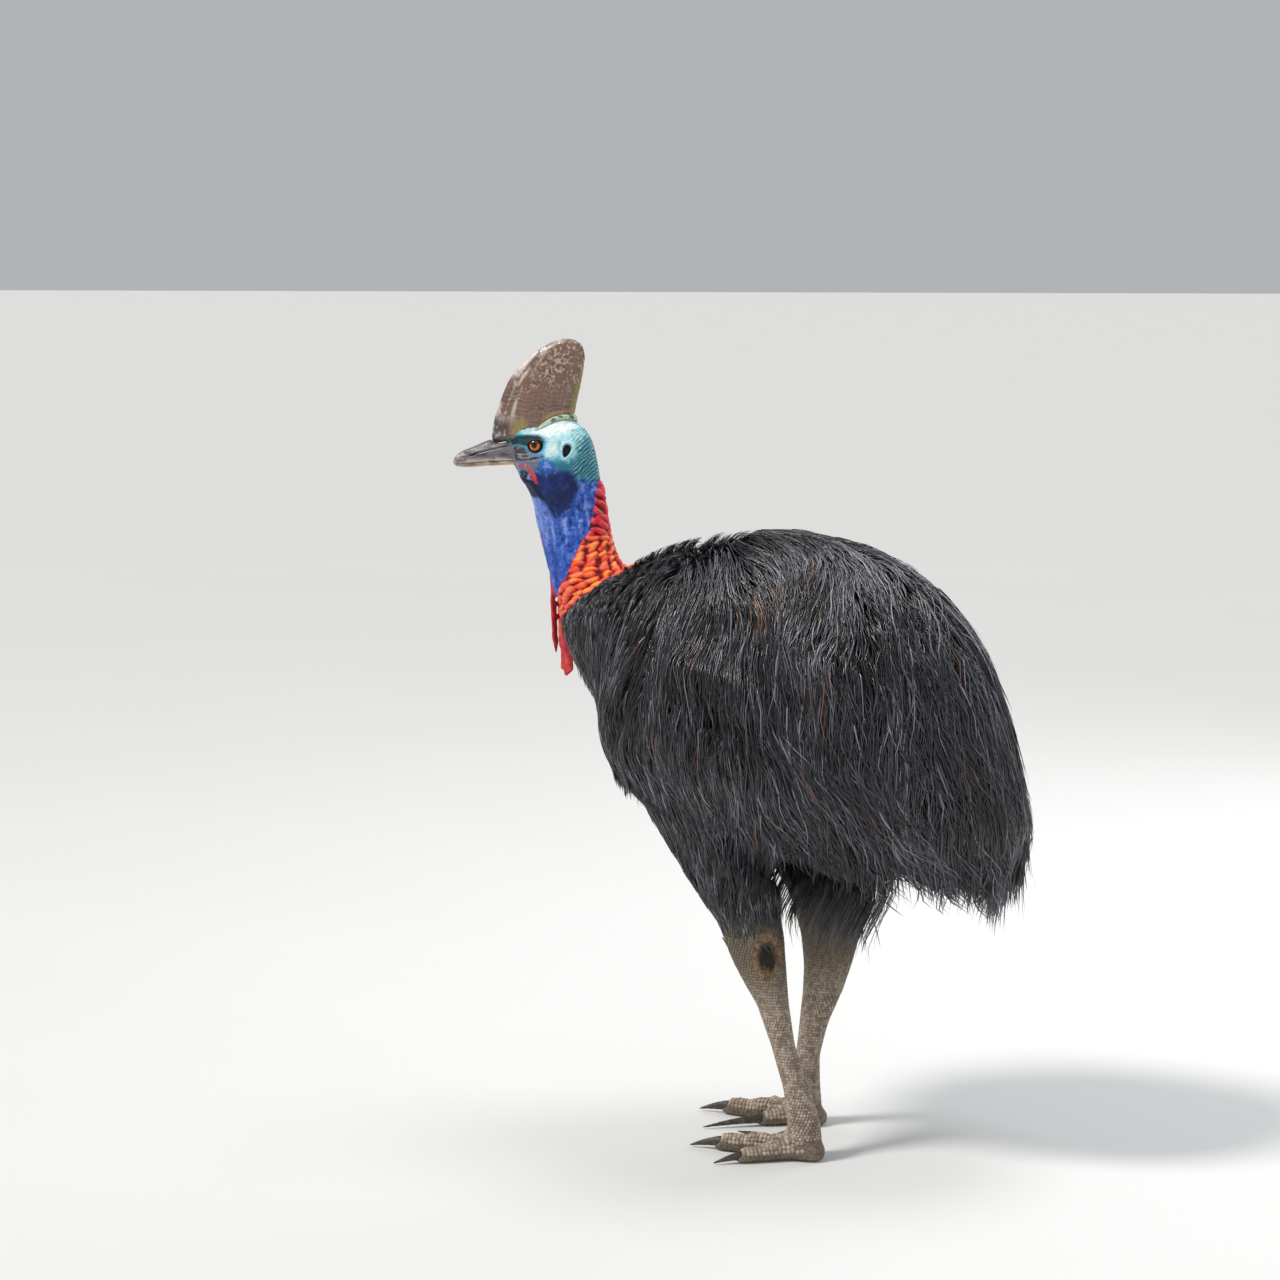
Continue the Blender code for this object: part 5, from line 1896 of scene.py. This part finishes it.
@dataclass
class Coat:
    """The plumage: thousands of guide paths that follow its lie, each carrying a lock of fine feathers."""

    form_voxel: float = 0.009
    guide_spacing: float = 0.0165
    steps: int = 10
    neck_edge: tuple[float, float] = (-0.2037, 0.974)
    neck_edge_way: tuple[float, float] = (0.586, 0.811)
    hem_waver: float = 4 / 3
    pad_margin: float = 1.05
    fold_depth: float = 0.011
    fold_width: float = 0.014
    spill: tuple[float, float] = (0.012, 0.040)
    rear_spill: float = 0.12
    hang_longer: float = 1.45
    station_reach: float = 0.02
    finish: PlumeFinish = field(default_factory=PlumeFinish)

    def build(self, skin: bpy.types.Object) -> list[bpy.types.Object]:
        """Grows the coat.

        Args:
            skin: The skin that it grows from.

        Returns:
            The coat's pieces.
        """
        form = self.make_form()
        self.form = form
        self.tree = tree_of(form)
        self.corner_normals = normals_of(form.data)
        self.corners = [tuple(face.vertices) for face in form.data.polygons]
        self.points = places_of(form.data)
        self.skin_tree = tree_of(skin)
        guides = self.make_guides()
        log.info("%d guide paths", len(guides))
        bpy.data.objects.remove(form)
        material = self.finish.material()
        pieces = []
        for name, group, nodes in self.groups(guides):
            pieces.append(self.grow(name, group, material, nodes))
        return pieces

    def make_form(self) -> bpy.types.Object:
        """The outline of plumage and shanks as one smooth surface, with the fold behind the shoulder."""
        nodes = ["trunk", "tail", "wing_left", "wing_right", "neck_lower"]
        nodes += [f"{part}_{side.label}" for side in Side for part in ("thigh", "shank")]
        form = join_all([node_copy(node, f"form_{node}") for node in nodes], "coat_form")
        finish_modifier(form, "REMESH", mode="VOXEL", voxel_size=self.form_voxel)
        relax(form.data, 4, 0.5)
        places = places_of(form.data)
        fold = self.fold_depth * bell(way_to_line(on_left(places), CREASE), self.fold_width)
        set_places(form.data, places - normals_of(form.data) * fold[:, None])
        return form

    def surface(self, place: Vector) -> tuple[Vector, Vector]:
        """The nearest point of the outline and the smooth normal there."""
        found, _normal, index, _distance = self.tree.find_nearest(place)
        corners = self.corners[index]
        spots = self.points[list(corners)]
        weight = 1 / (np.linalg.norm(spots - np.array(found), axis=1) + 1e-4)
        normal = Vector((self.corner_normals[list(corners)] * weight[:, None]).sum(axis=0))
        return found, normal.normalized()

    def zone_of(self, place: Vector, normal: Vector) -> Optional[Zone]:
        """The zone that a root belongs to, or None where no feather grows."""
        x, y, z = place
        before = self.past_neck_edge(place)
        edge = 0.006 * float(ripple(np.array([place]), 0.02, 101)[0])
        if before < edge:
            return None
        leg = next(leg for leg in LEGS if leg.side.value * x > 0 or leg.side is Side.RIGHT)
        if z < 0.46 and self.by_leg(place, leg) < 0.085:
            ahead = (leg.middle(min(z, 0.36)).y - y) / 0.045
            hem = leg.feather_edge - leg.edge_slope * ahead + self.hem_waver * edge
            if z < hem or leg.pad_distance(place)[0] < self.pad_margin:
                return None
            return Zone.THIGH
        if z < 0.60 and self.by_leg(place, leg) < 0.105 and abs(x) > 0.05 and y < 0.13:
            return Zone.THIGH
        if normal.z < -0.55:
            return Zone.BELLY
        if before < 0.055:
            return Zone.NECK
        if y < -0.065:
            return Zone.SHOULDER
        if y < 0.095:
            return Zone.FLANK
        return Zone.LOIN if y < 0.250 else Zone.RUMP

    def past_neck_edge(self, place: Vector) -> float:
        """How far a place lies behind the slanting edge where bare neck and plumage meet."""
        (y, z), (back, down) = self.neck_edge, self.neck_edge_way
        return (place.y - y) * back - (place.z - z) * down

    def by_leg(self, place: Vector, leg: LegPath) -> float:
        """The level distance from the line of a leg."""
        y = leg.middle(place.z).y
        if place.z > 0.36:
            y = float(np.interp(place.z, [0.36, 0.66], [y, -0.035 if leg.side is Side.LEFT else 0.03]))
        return math.hypot(place.x - 0.108 * leg.side.value, (place.y - y) * 0.75)

    def lie(self, place: Vector, normal: Vector, zone: Zone) -> Vector:
        """The way that feathers lie at a place, along the surface."""
        out = math.copysign(min(1.0, abs(place.x) / 0.03), place.x)
        if zone is Zone.BELLY:
            way = Vector((0.10 * out, 1.0, -0.35))
        elif zone is Zone.THIGH:
            way = Vector((0, 0.10, -1.0))
        else:
            stations, ways = np.array(LIE).transpose(1, 0, 2)
            near = ((stations - (abs(place.x), place.y, place.z)) ** 2).sum(axis=1)
            weights = 1 / (near + self.station_reach**2) ** 1.6
            x, y, z = (ways * weights[:, None]).sum(axis=0) / weights.sum()
            way = Vector((x * out, y, z))
        spot = np.array([place])
        loose = float(
            np.interp(place.y, [0.0, 0.25], [1.0, 1.7]) * np.interp(place.z, [0.6, 0.9], [1.25, 0.9])
        )
        swirl = (0.22 * ripple(spot, 0.060, 111)[0] + 0.20 * ripple(spot, 0.026, 112)[0]) * loose
        way = way - normal * way.dot(normal)
        way.normalize()
        return (way + normal.cross(way) * swirl).normalized()

    def make_guides(self) -> list[Guide]:
        """Roots spread evenly over the outline, each with its path."""
        rng = np.random.default_rng(23)
        roots = self.spread_roots(rng)
        guides = []
        for place, normal in roots:
            zone = self.zone_of(place, normal)
            if zone is None:
                continue
            guides.append(self.trace(place, normal, zone, rng))
        return guides

    def spread_roots(self, rng: np.random.Generator) -> list[tuple[Vector, Vector]]:
        """Evenly spread, slightly jittered places on the outline."""
        mesh = self.form.data
        areas = np.array([face.area for face in mesh.polygons])
        middles = np.array([face.center for face in mesh.polygons])
        order = rng.choice(
            len(areas), size=int(areas.sum() / self.guide_spacing**2 * 5), p=areas / areas.sum()
        )
        taken: dict[tuple[int, int, int], list[Array]] = {}
        roots = []
        for index in order:
            spot = middles[index] + rng.normal(0, 0.004, 3)
            closeness = 0.60 if spot[1] < -0.20 else 1.0
            cell = tuple(int(v) for v in np.floor(spot / self.guide_spacing))
            near = [
                other
                for step in product((-1, 0, 1), repeat=3)
                for other in taken.get((cell[0] + step[0], cell[1] + step[1], cell[2] + step[2]), [])
            ]
            least = (self.guide_spacing * 0.86 * closeness) ** 2
            if any(((spot - other) ** 2).sum() < least for other in near):
                continue
            taken.setdefault(cell, []).append(spot)
            roots.append(self.surface(Vector(spot)))
        return roots

    def trace(self, place: Vector, normal: Vector, zone: Zone, rng: np.random.Generator) -> Guide:
        """Follows the lie of the coat from a root.

        Args:
            place: The root on the outline.
            normal: The outline's normal there.
            zone: The root's zone.
            rng: Source of the lock's own length.

        Returns:
            The guide.
        """
        lock = LOCKS[zone]
        between_legs = (
            zone is Zone.BELLY and abs(place.x) < 0.085 and -0.06 < place.y < 0.22 and place.z < 0.52
        )
        length = (
            lock.length
            * rng.uniform(0.78, 1.18)
            * self.length_here(place, zone)
            * (self.hang_longer if between_legs else 1.0)
        )
        inward = self.skin_tree.ray_cast(place + normal * 0.002, -normal, 0.14)
        depth = min(inward[3], 0.060) if inward[0] is not None else 0.020
        spots, ups = [place.copy()], [normal.copy()]
        way = Vector((0, 0.25, -1.0)).normalized() if between_legs else self.lie(place, normal, zone)
        step = length / (self.steps - 1)
        hanging, spill = between_legs, length
        if not between_legs:
            spill = rng.uniform(*self.spill) + max(0.0, place.y - 0.05) * rng.uniform(0.0, self.rear_spill)
        walked = 0.0
        for _ in range(self.steps - 1):
            here, up = spots[-1], ups[-1]
            if hanging:
                way = (way * 0.75 + Vector((0, 0.03, -0.25))).normalized()
                spots.append(here + way * step)
                ups.append((up - way * up.dot(way)).normalized())
                walked += step
                if walked > spill:
                    break
                continue
            way = (way * 0.35 + self.lie(here, up, zone) * 0.65).normalized()
            there, after = self.surface(here + way * step)
            if after.z < -0.50 and zone not in (Zone.BELLY, Zone.THIGH):
                hanging = True
                spots.append(here + way * step)
                ups.append(up.copy())
                continue
            spots.append(there)
            ups.append(after)
        path, normals = np.array(spots), np.array(ups)
        real = float(np.linalg.norm(np.diff(path, axis=0), axis=1).sum())
        ticks = np.linspace(0, len(path) - 1, self.steps)
        path = np.stack([np.interp(ticks, range(len(path)), path[:, k]) for k in range(3)], axis=1)
        normals = np.stack([np.interp(ticks, range(len(normals)), normals[:, k]) for k in range(3)], axis=1)
        side = Side.LEFT if place.x >= 0 else Side.RIGHT
        return Guide(zone, side, path, normals, depth, real, np.array(place))

    def length_here(self, place: Vector, zone: Zone) -> float:
        """How long feathers are at a place beside their zone's own length."""
        if zone is Zone.NECK:
            return float(np.interp(self.past_neck_edge(place), [0.0, 0.055], [0.55, 1.15]))
        if zone is Zone.THIGH:
            return float(np.interp(place.z, [0.33, 0.42, 0.60], [0.45, 0.75, 1.25]))
        if zone is Zone.SHOULDER:
            return float(np.interp(place.y, [-0.24, -0.06], [0.72, 1.15]))
        return 1.0

    def groups(self, guides: list[Guide]) -> Iterable[tuple[str, list[Guide], tuple[str, ...]]]:
        """Sorts the guides into pieces of workable size.

        Args:
            guides: All guides.

        Yields:
            A name, the guides of that piece, and the CAD nodes that it stands for.
        """
        neck = [g for g in guides if g.zone is Zone.NECK]
        yield "coat_neck", neck, ()
        yield "coat_belly", [g for g in guides if g.zone is Zone.BELLY], ()
        nodes = {Zone.SHOULDER: "wing", Zone.RUMP: None}
        for zone in (Zone.SHOULDER, Zone.FLANK, Zone.LOIN, Zone.RUMP, Zone.THIGH):
            for side in Side:
                group = [g for g in guides if g.zone is zone and g.side is side]
                stands = (f"wing_{side.label}",) if nodes.get(zone) == "wing" else ()
                if zone is Zone.RUMP and side is Side.LEFT:
                    stands = ("tail",)
                yield f"coat_{zone.value}_{side.label}", group, stands

    def grow(
        self, name: str, guides: list[Guide], material: bpy.types.Material, nodes: tuple[str, ...]
    ) -> bpy.types.Object:
        """Grows one piece of the coat.

        Args:
            name: The piece's name.
            guides: Its guides.
            material: The coat's material.
            nodes: The CAD nodes that it stands for.

        Returns:
            The piece.
        """
        rng = np.random.default_rng(len(name) * 7 + len(guides))
        parts: list[tuple[Array, Array, Array, Array]] = []
        start = 0
        for zone in {g.zone: None for g in guides}:
            strands = Strands(LOCKS[zone], [g for g in guides if g.zone is zone], rng, zone)
            places, triangles, tones, spots = strands.mesh_arrays()
            parts.append((places, triangles + start, tones, spots))
            start += len(places)
        places, triangles, tones, spots = (np.concatenate(column) for column in zip(*parts))
        piece = mesh_from_triangles(name, places, triangles)
        keep_values(piece.data, "tone", tones)
        layer = piece.data.uv_layers.new(name="OFBake")
        layer.data.foreach_set("uv", spots[triangles.ravel()].astype(np.float32).ravel())
        return dress(piece, material, "plumage", *nodes)


@dataclass
class Strands:
    """The feathers of one zone's guides: slim three-sided blades that draw together towards their tips."""

    lock: Lock
    guides: list[Guide]
    rng: np.random.Generator
    zone: Zone
    clumps: int = 3

    def mesh_arrays(self) -> tuple[Array, Array, Array, Array]:
        """Builds all the feathers at once.

        Returns:
            Vertex places, triangles, a tone per vertex and a place on the bake's map per vertex.
        """
        rng, lock = self.rng, self.lock
        count, each, rings = len(self.guides), lock.per_guide, lock.rings
        path = np.array([g.path for g in self.guides])
        normal = np.array([g.normals for g in self.guides])
        normal /= np.maximum(np.linalg.norm(normal, axis=2, keepdims=True), 1e-6)
        along = np.gradient(path, axis=1)
        along /= np.maximum(np.linalg.norm(along, axis=2, keepdims=True), 1e-6)
        normal -= along * (normal * along).sum(axis=2, keepdims=True)
        normal /= np.maximum(np.linalg.norm(normal, axis=2, keepdims=True), 1e-6)
        across = np.cross(along, normal)
        depth = np.array([g.depth for g in self.guides])[:, None, None]
        length = np.array([g.length for g in self.guides])[:, None, None]
        shape = (count, each, 1)
        ticks = np.linspace(0, 1, rings + 1) ** 0.92
        reach = rng.uniform(0.72, 1.0, shape)
        t = ticks[None, None, :] * reach
        steps = path.shape[1] - 1
        low = np.clip((t * steps).astype(int), 0, steps - 1)
        part = (t * steps - low)[..., None]
        index = np.arange(count)[:, None, None]

        def sample(values: Array) -> Array:
            """Reads the guide's values at each strand's ticks."""
            return values[index, low] * (1 - part) + values[index, low + 1] * part

        spot, up, side, way = sample(path), sample(normal), sample(across), sample(along)
        clump = rng.integers(0, self.clumps, (count, each))
        centre = rng.normal(0, 0.62, (count, self.clumps)) * lock.spread
        offset = rng.normal(0, 0.42, (count, each)) * lock.spread
        drift = centre[np.arange(count)[:, None], clump][..., None] * (1 - 0.30 * t)
        spread = drift + offset[..., None] * (1 - 0.86 * np.clip(t / reach, 0, 1) ** 0.8)
        phase = rng.uniform(0, 6.283, (count, self.clumps))[np.arange(count)[:, None], clump][..., None]
        phase = phase + rng.normal(0, 0.35, shape)
        spread = spread + rng.normal(0, 0.085, shape) * length * t
        wave = lock.wave * np.sin(t * 5.5 + phase) * t
        wave += lock.wave * 0.35 * np.sin(t * 13.0 + phase * 2.3) * t
        slide = rng.uniform(-0.5, 0.5, shape) * lock.spread * 1.6
        rise = smooth_step(0.0, 1.0, np.clip(t * length / np.maximum(depth * 1.9, 0.018), 0, 1))
        layer = rng.uniform(-0.9, 0.35, shape) * lock.lift
        lift = (
            -depth * (1 - rise)
            - 0.0015
            + layer * rise
            + lock.lift * 0.8 * t**2.5 * rng.uniform(-0.4, 1.0, shape)
        )
        spot = spot + side * (spread + wave)[..., None] + up * lift[..., None] + way * slide[..., None]
        width = lock.width * rng.uniform(0.70, 1.30, shape) * (1 - 0.80 * (t / reach) ** 2.6)
        width = width * (0.65 + 0.35 * smooth_step(0.0, 0.2, t))
        thick = width * 0.42
        roll = (rng.normal(0, 0.45, shape) + rng.normal(0, 0.5, shape) * t)[..., None]
        side, up = side * np.cos(roll) + up * np.sin(roll), up * np.cos(roll) - side * np.sin(roll)
        body, tip = spot[:, :, :-1], spot[:, :, -1]
        width, thick = width[:, :, :-1, None], thick[:, :, :-1, None]
        side, up = side[:, :, :-1], up[:, :, :-1]
        below = body - up * thick * 0.5
        corners = [body + up * thick, below - side * width, below + side * width]
        tube = np.stack(corners, axis=3).reshape(count * each, rings * 3, 3)
        places = np.concatenate([tube, tip.reshape(count * each, 1, 3)], axis=1)
        template = self.template(rings)
        total = rings * 3 + 1
        triangles = template[None] + (np.arange(count * each) * total)[:, None, None]
        tones = self.tones(count, each, clump, ticks[:-1])
        spots = self.map_spots(count, each, rings)
        return places.reshape(-1, 3), triangles.reshape(-1, 3), tones, spots

    def template(self, rings: int) -> Array:
        """The triangles of one blade, closed at its root and its tip."""
        faces = [(0, 2, 1)]
        for r in range(rings - 1):
            for k in range(3):
                n = (k + 1) % 3
                a, b, c, d = r * 3 + k, r * 3 + n, r * 3 + 3 + n, r * 3 + 3 + k
                faces += [(a, b, c), (a, c, d)]
        last, tip = rings * 3 - 3, rings * 3
        faces += [(last + k, last + (k + 1) % 3, tip) for k in range(3)]
        return np.array(faces)

    def tones(self, count: int, each: int, clump: Array, ticks: Array) -> Array:
        """A tone per vertex: each lock and feather has its own, darker at the root, and darker in the fold as
        painted shade.
        """
        rng = self.rng
        place = np.array([g.root for g in self.guides])
        broad = 0.44 + 0.30 * ripple(place, 0.05, 121) + 0.24 * ripple(place, 0.018, 122)
        # Painted shade along the fold behind the shoulder.
        broad -= 0.40 * bell(way_to_line(on_left(place), CREASE), 0.016)
        lock = rng.normal(0, 0.20, (count, self.clumps))[np.arange(count)[:, None], clump]
        own = broad[:, None] + lock + rng.normal(0, 0.24, (count, each))
        tone = own[..., None] * (0.25 + 0.75 * smooth_step(0.0, 0.5, ticks))
        tone = np.clip(tone, 0, 0.98)
        odds = 0.010 + 0.55 * smooth_step(0.014, 0.006, way_to_line(on_left(place), PARTING))
        rusty = (rng.uniform(0, 1, (count, each)) < odds[:, None])[..., None]
        tone = np.where(rusty, 1.15, tone)
        full = np.repeat(tone, 3, axis=2)
        full = np.concatenate([full, full[..., -1:]], axis=2)
        return full.ravel()

    def map_spots(self, count: int, each: int, rings: int) -> Array:
        """Each feather's own small patch on the bake's map, at its root's place on an unwrap of the body."""
        rng = self.rng
        root = np.array([g.root for g in self.guides])
        round_body = np.arctan2(root[:, 0], root[:, 2] - 0.72) / (2 * math.pi) + 0.5
        if self.zone is Zone.THIGH:
            middle = np.array([0.100, 0.11])
            round_body = (
                np.arctan2(np.abs(root[:, 0]) - middle[0], root[:, 1] - middle[1]) / (2 * math.pi) + 0.5
            )
            down = (root[:, 2] - 0.28) / 0.45
        else:
            down = (root[:, 1] + 0.36) / 0.90
        base = np.stack([0.03 + 0.94 * round_body, 0.03 + 0.94 * np.clip(down, 0, 1)], axis=1)
        base = base[:, None] + rng.uniform(-0.006, 0.006, (count, each, 2))
        t = np.repeat(np.linspace(-1, 1, rings), 3)
        turn = np.tile(np.radians([90.0, 210.0, 330.0]), rings)
        patch = np.stack([0.0015 * t + 0.0004 * np.cos(turn), 0.0010 * np.sin(turn)], axis=1)
        patch = np.concatenate([patch, [[0.0017, 0.0]]])
        return (base[:, :, None] + patch[None, None]).reshape(-1, 2)


@dataclass(frozen=True)
class Lamp:
    """One round area light."""

    name: str
    place: tuple[float, float, float]
    size: float
    power: float
    colour: Colour


LAMPS = (
    Lamp("fill", (4.2, 3.6, 1.9), 3.0, 22.0, (0.93, 0.96, 1.0)),
    Lamp("top", (-0.6, 0.4, 4.2), 1.6, 45.0, (0.96, 0.98, 1.0)),
    Lamp("back", (-3.6, 1.6, 2.6), 2.4, 40.0, (0.95, 0.97, 1.0)),
)
BODY_MIDDLE = (0, 0, 0.75)


@dataclass
class Studio:
    """The camera at the photograph's angle, a plain pale floor and soft lights."""

    eye: tuple[float, float, float] = (4.72688, 1.7330, 1.47382)
    azimuth: float = math.radians(112.0)
    pitch: float = math.radians(7.0)
    lens: float = 84.375
    sun_place: tuple[float, float, float] = (2.0, -2.4, 4.6)
    sun_power: float = 2.1
    sun_width: float = math.radians(11.0)
    sun_colour: Colour = (1.0, 0.975, 0.94)
    sky_colour: Colour = (0.80, 0.82, 0.84)
    sky_power: float = 0.55
    floor_size: float = 400.0

    def build(self) -> None:
        """Sets up the camera, floor, lights and sky."""
        bpy.context.scene.view_settings.view_transform = "Standard"
        self.make_camera()
        self.make_floor()
        self.make_sun()
        for lamp in LAMPS:
            self.make_light(lamp)
        world = bpy.data.worlds.new("studio")
        bpy.context.scene.world = world
        world.use_nodes = True
        background = next(n for n in world.node_tree.nodes if n.type == "BACKGROUND")
        background.inputs["Color"].default_value = (*self.sky_colour, 1)
        background.inputs["Strength"].default_value = self.sky_power

    def make_sun(self) -> None:
        """Adds the key light, which comes from far off, so that the floor is equally pale everywhere."""
        data = bpy.data.lights.new("key", "SUN")
        data.energy, data.angle, data.color = self.sun_power, self.sun_width, self.sun_colour
        self.aim(bpy.data.objects.new("key", data), self.sun_place)

    def make_camera(self) -> None:
        """Places the camera where the photograph was taken from."""
        s, c = math.sin(self.azimuth), math.cos(self.azimuth)
        level = math.cos(self.pitch)
        ahead = Vector((-s * level, c * level, -math.sin(self.pitch)))
        data = bpy.data.cameras.new("camera")
        data.lens, data.sensor_width = self.lens, 36.0
        data.clip_start, data.clip_end = 0.1, 500.0
        camera = bpy.data.objects.new("camera", data)
        bpy.context.scene.collection.objects.link(camera)
        camera.location = self.eye
        camera.rotation_euler = ahead.to_track_quat("-Z", "Y").to_euler()
        bpy.context.scene.camera = camera

    def make_floor(self) -> None:
        """Lays the floor."""
        bpy.ops.object.select_all(action="DESELECT")
        bpy.ops.mesh.primitive_plane_add(size=self.floor_size, location=(0, 0, 0))
        floor = bpy.context.view_layer.objects.active
        floor.name = "floor"
        w = Weave("pale_floor")
        spots = w.grain(w.where(), 1.2, 3.0)
        floor.data.materials.append(
            w.done(Base_Color=w.mix(spots, (0.76, 0.76, 0.75), (0.79, 0.79, 0.78)), Roughness=0.9)
        )

    def make_light(self, lamp: Lamp) -> None:
        """Adds one soft light that faces the bird."""
        data = bpy.data.lights.new(lamp.name, "AREA")
        data.shape, data.size, data.energy, data.color = "DISK", lamp.size, lamp.power, lamp.colour
        self.aim(bpy.data.objects.new(lamp.name, data), lamp.place)

    def aim(self, lamp: bpy.types.Object, place: tuple[float, float, float]) -> None:
        """Places a light and turns it to the middle of the bird."""
        bpy.context.scene.collection.objects.link(lamp)
        lamp.location = place
        lamp.rotation_euler = (Vector(BODY_MIDDLE) - Vector(place)).to_track_quat("-Z", "Y").to_euler()


def main() -> None:
    """Builds every piece in order."""
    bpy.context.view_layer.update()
    Studio().build()
    skin = Skin().build()
    Casque().build()
    Bill().build()
    Eyes().build()
    Claws().build()
    Scales().build(skin)
    Coat().build(skin)


if __name__ == "__main__":
    main()
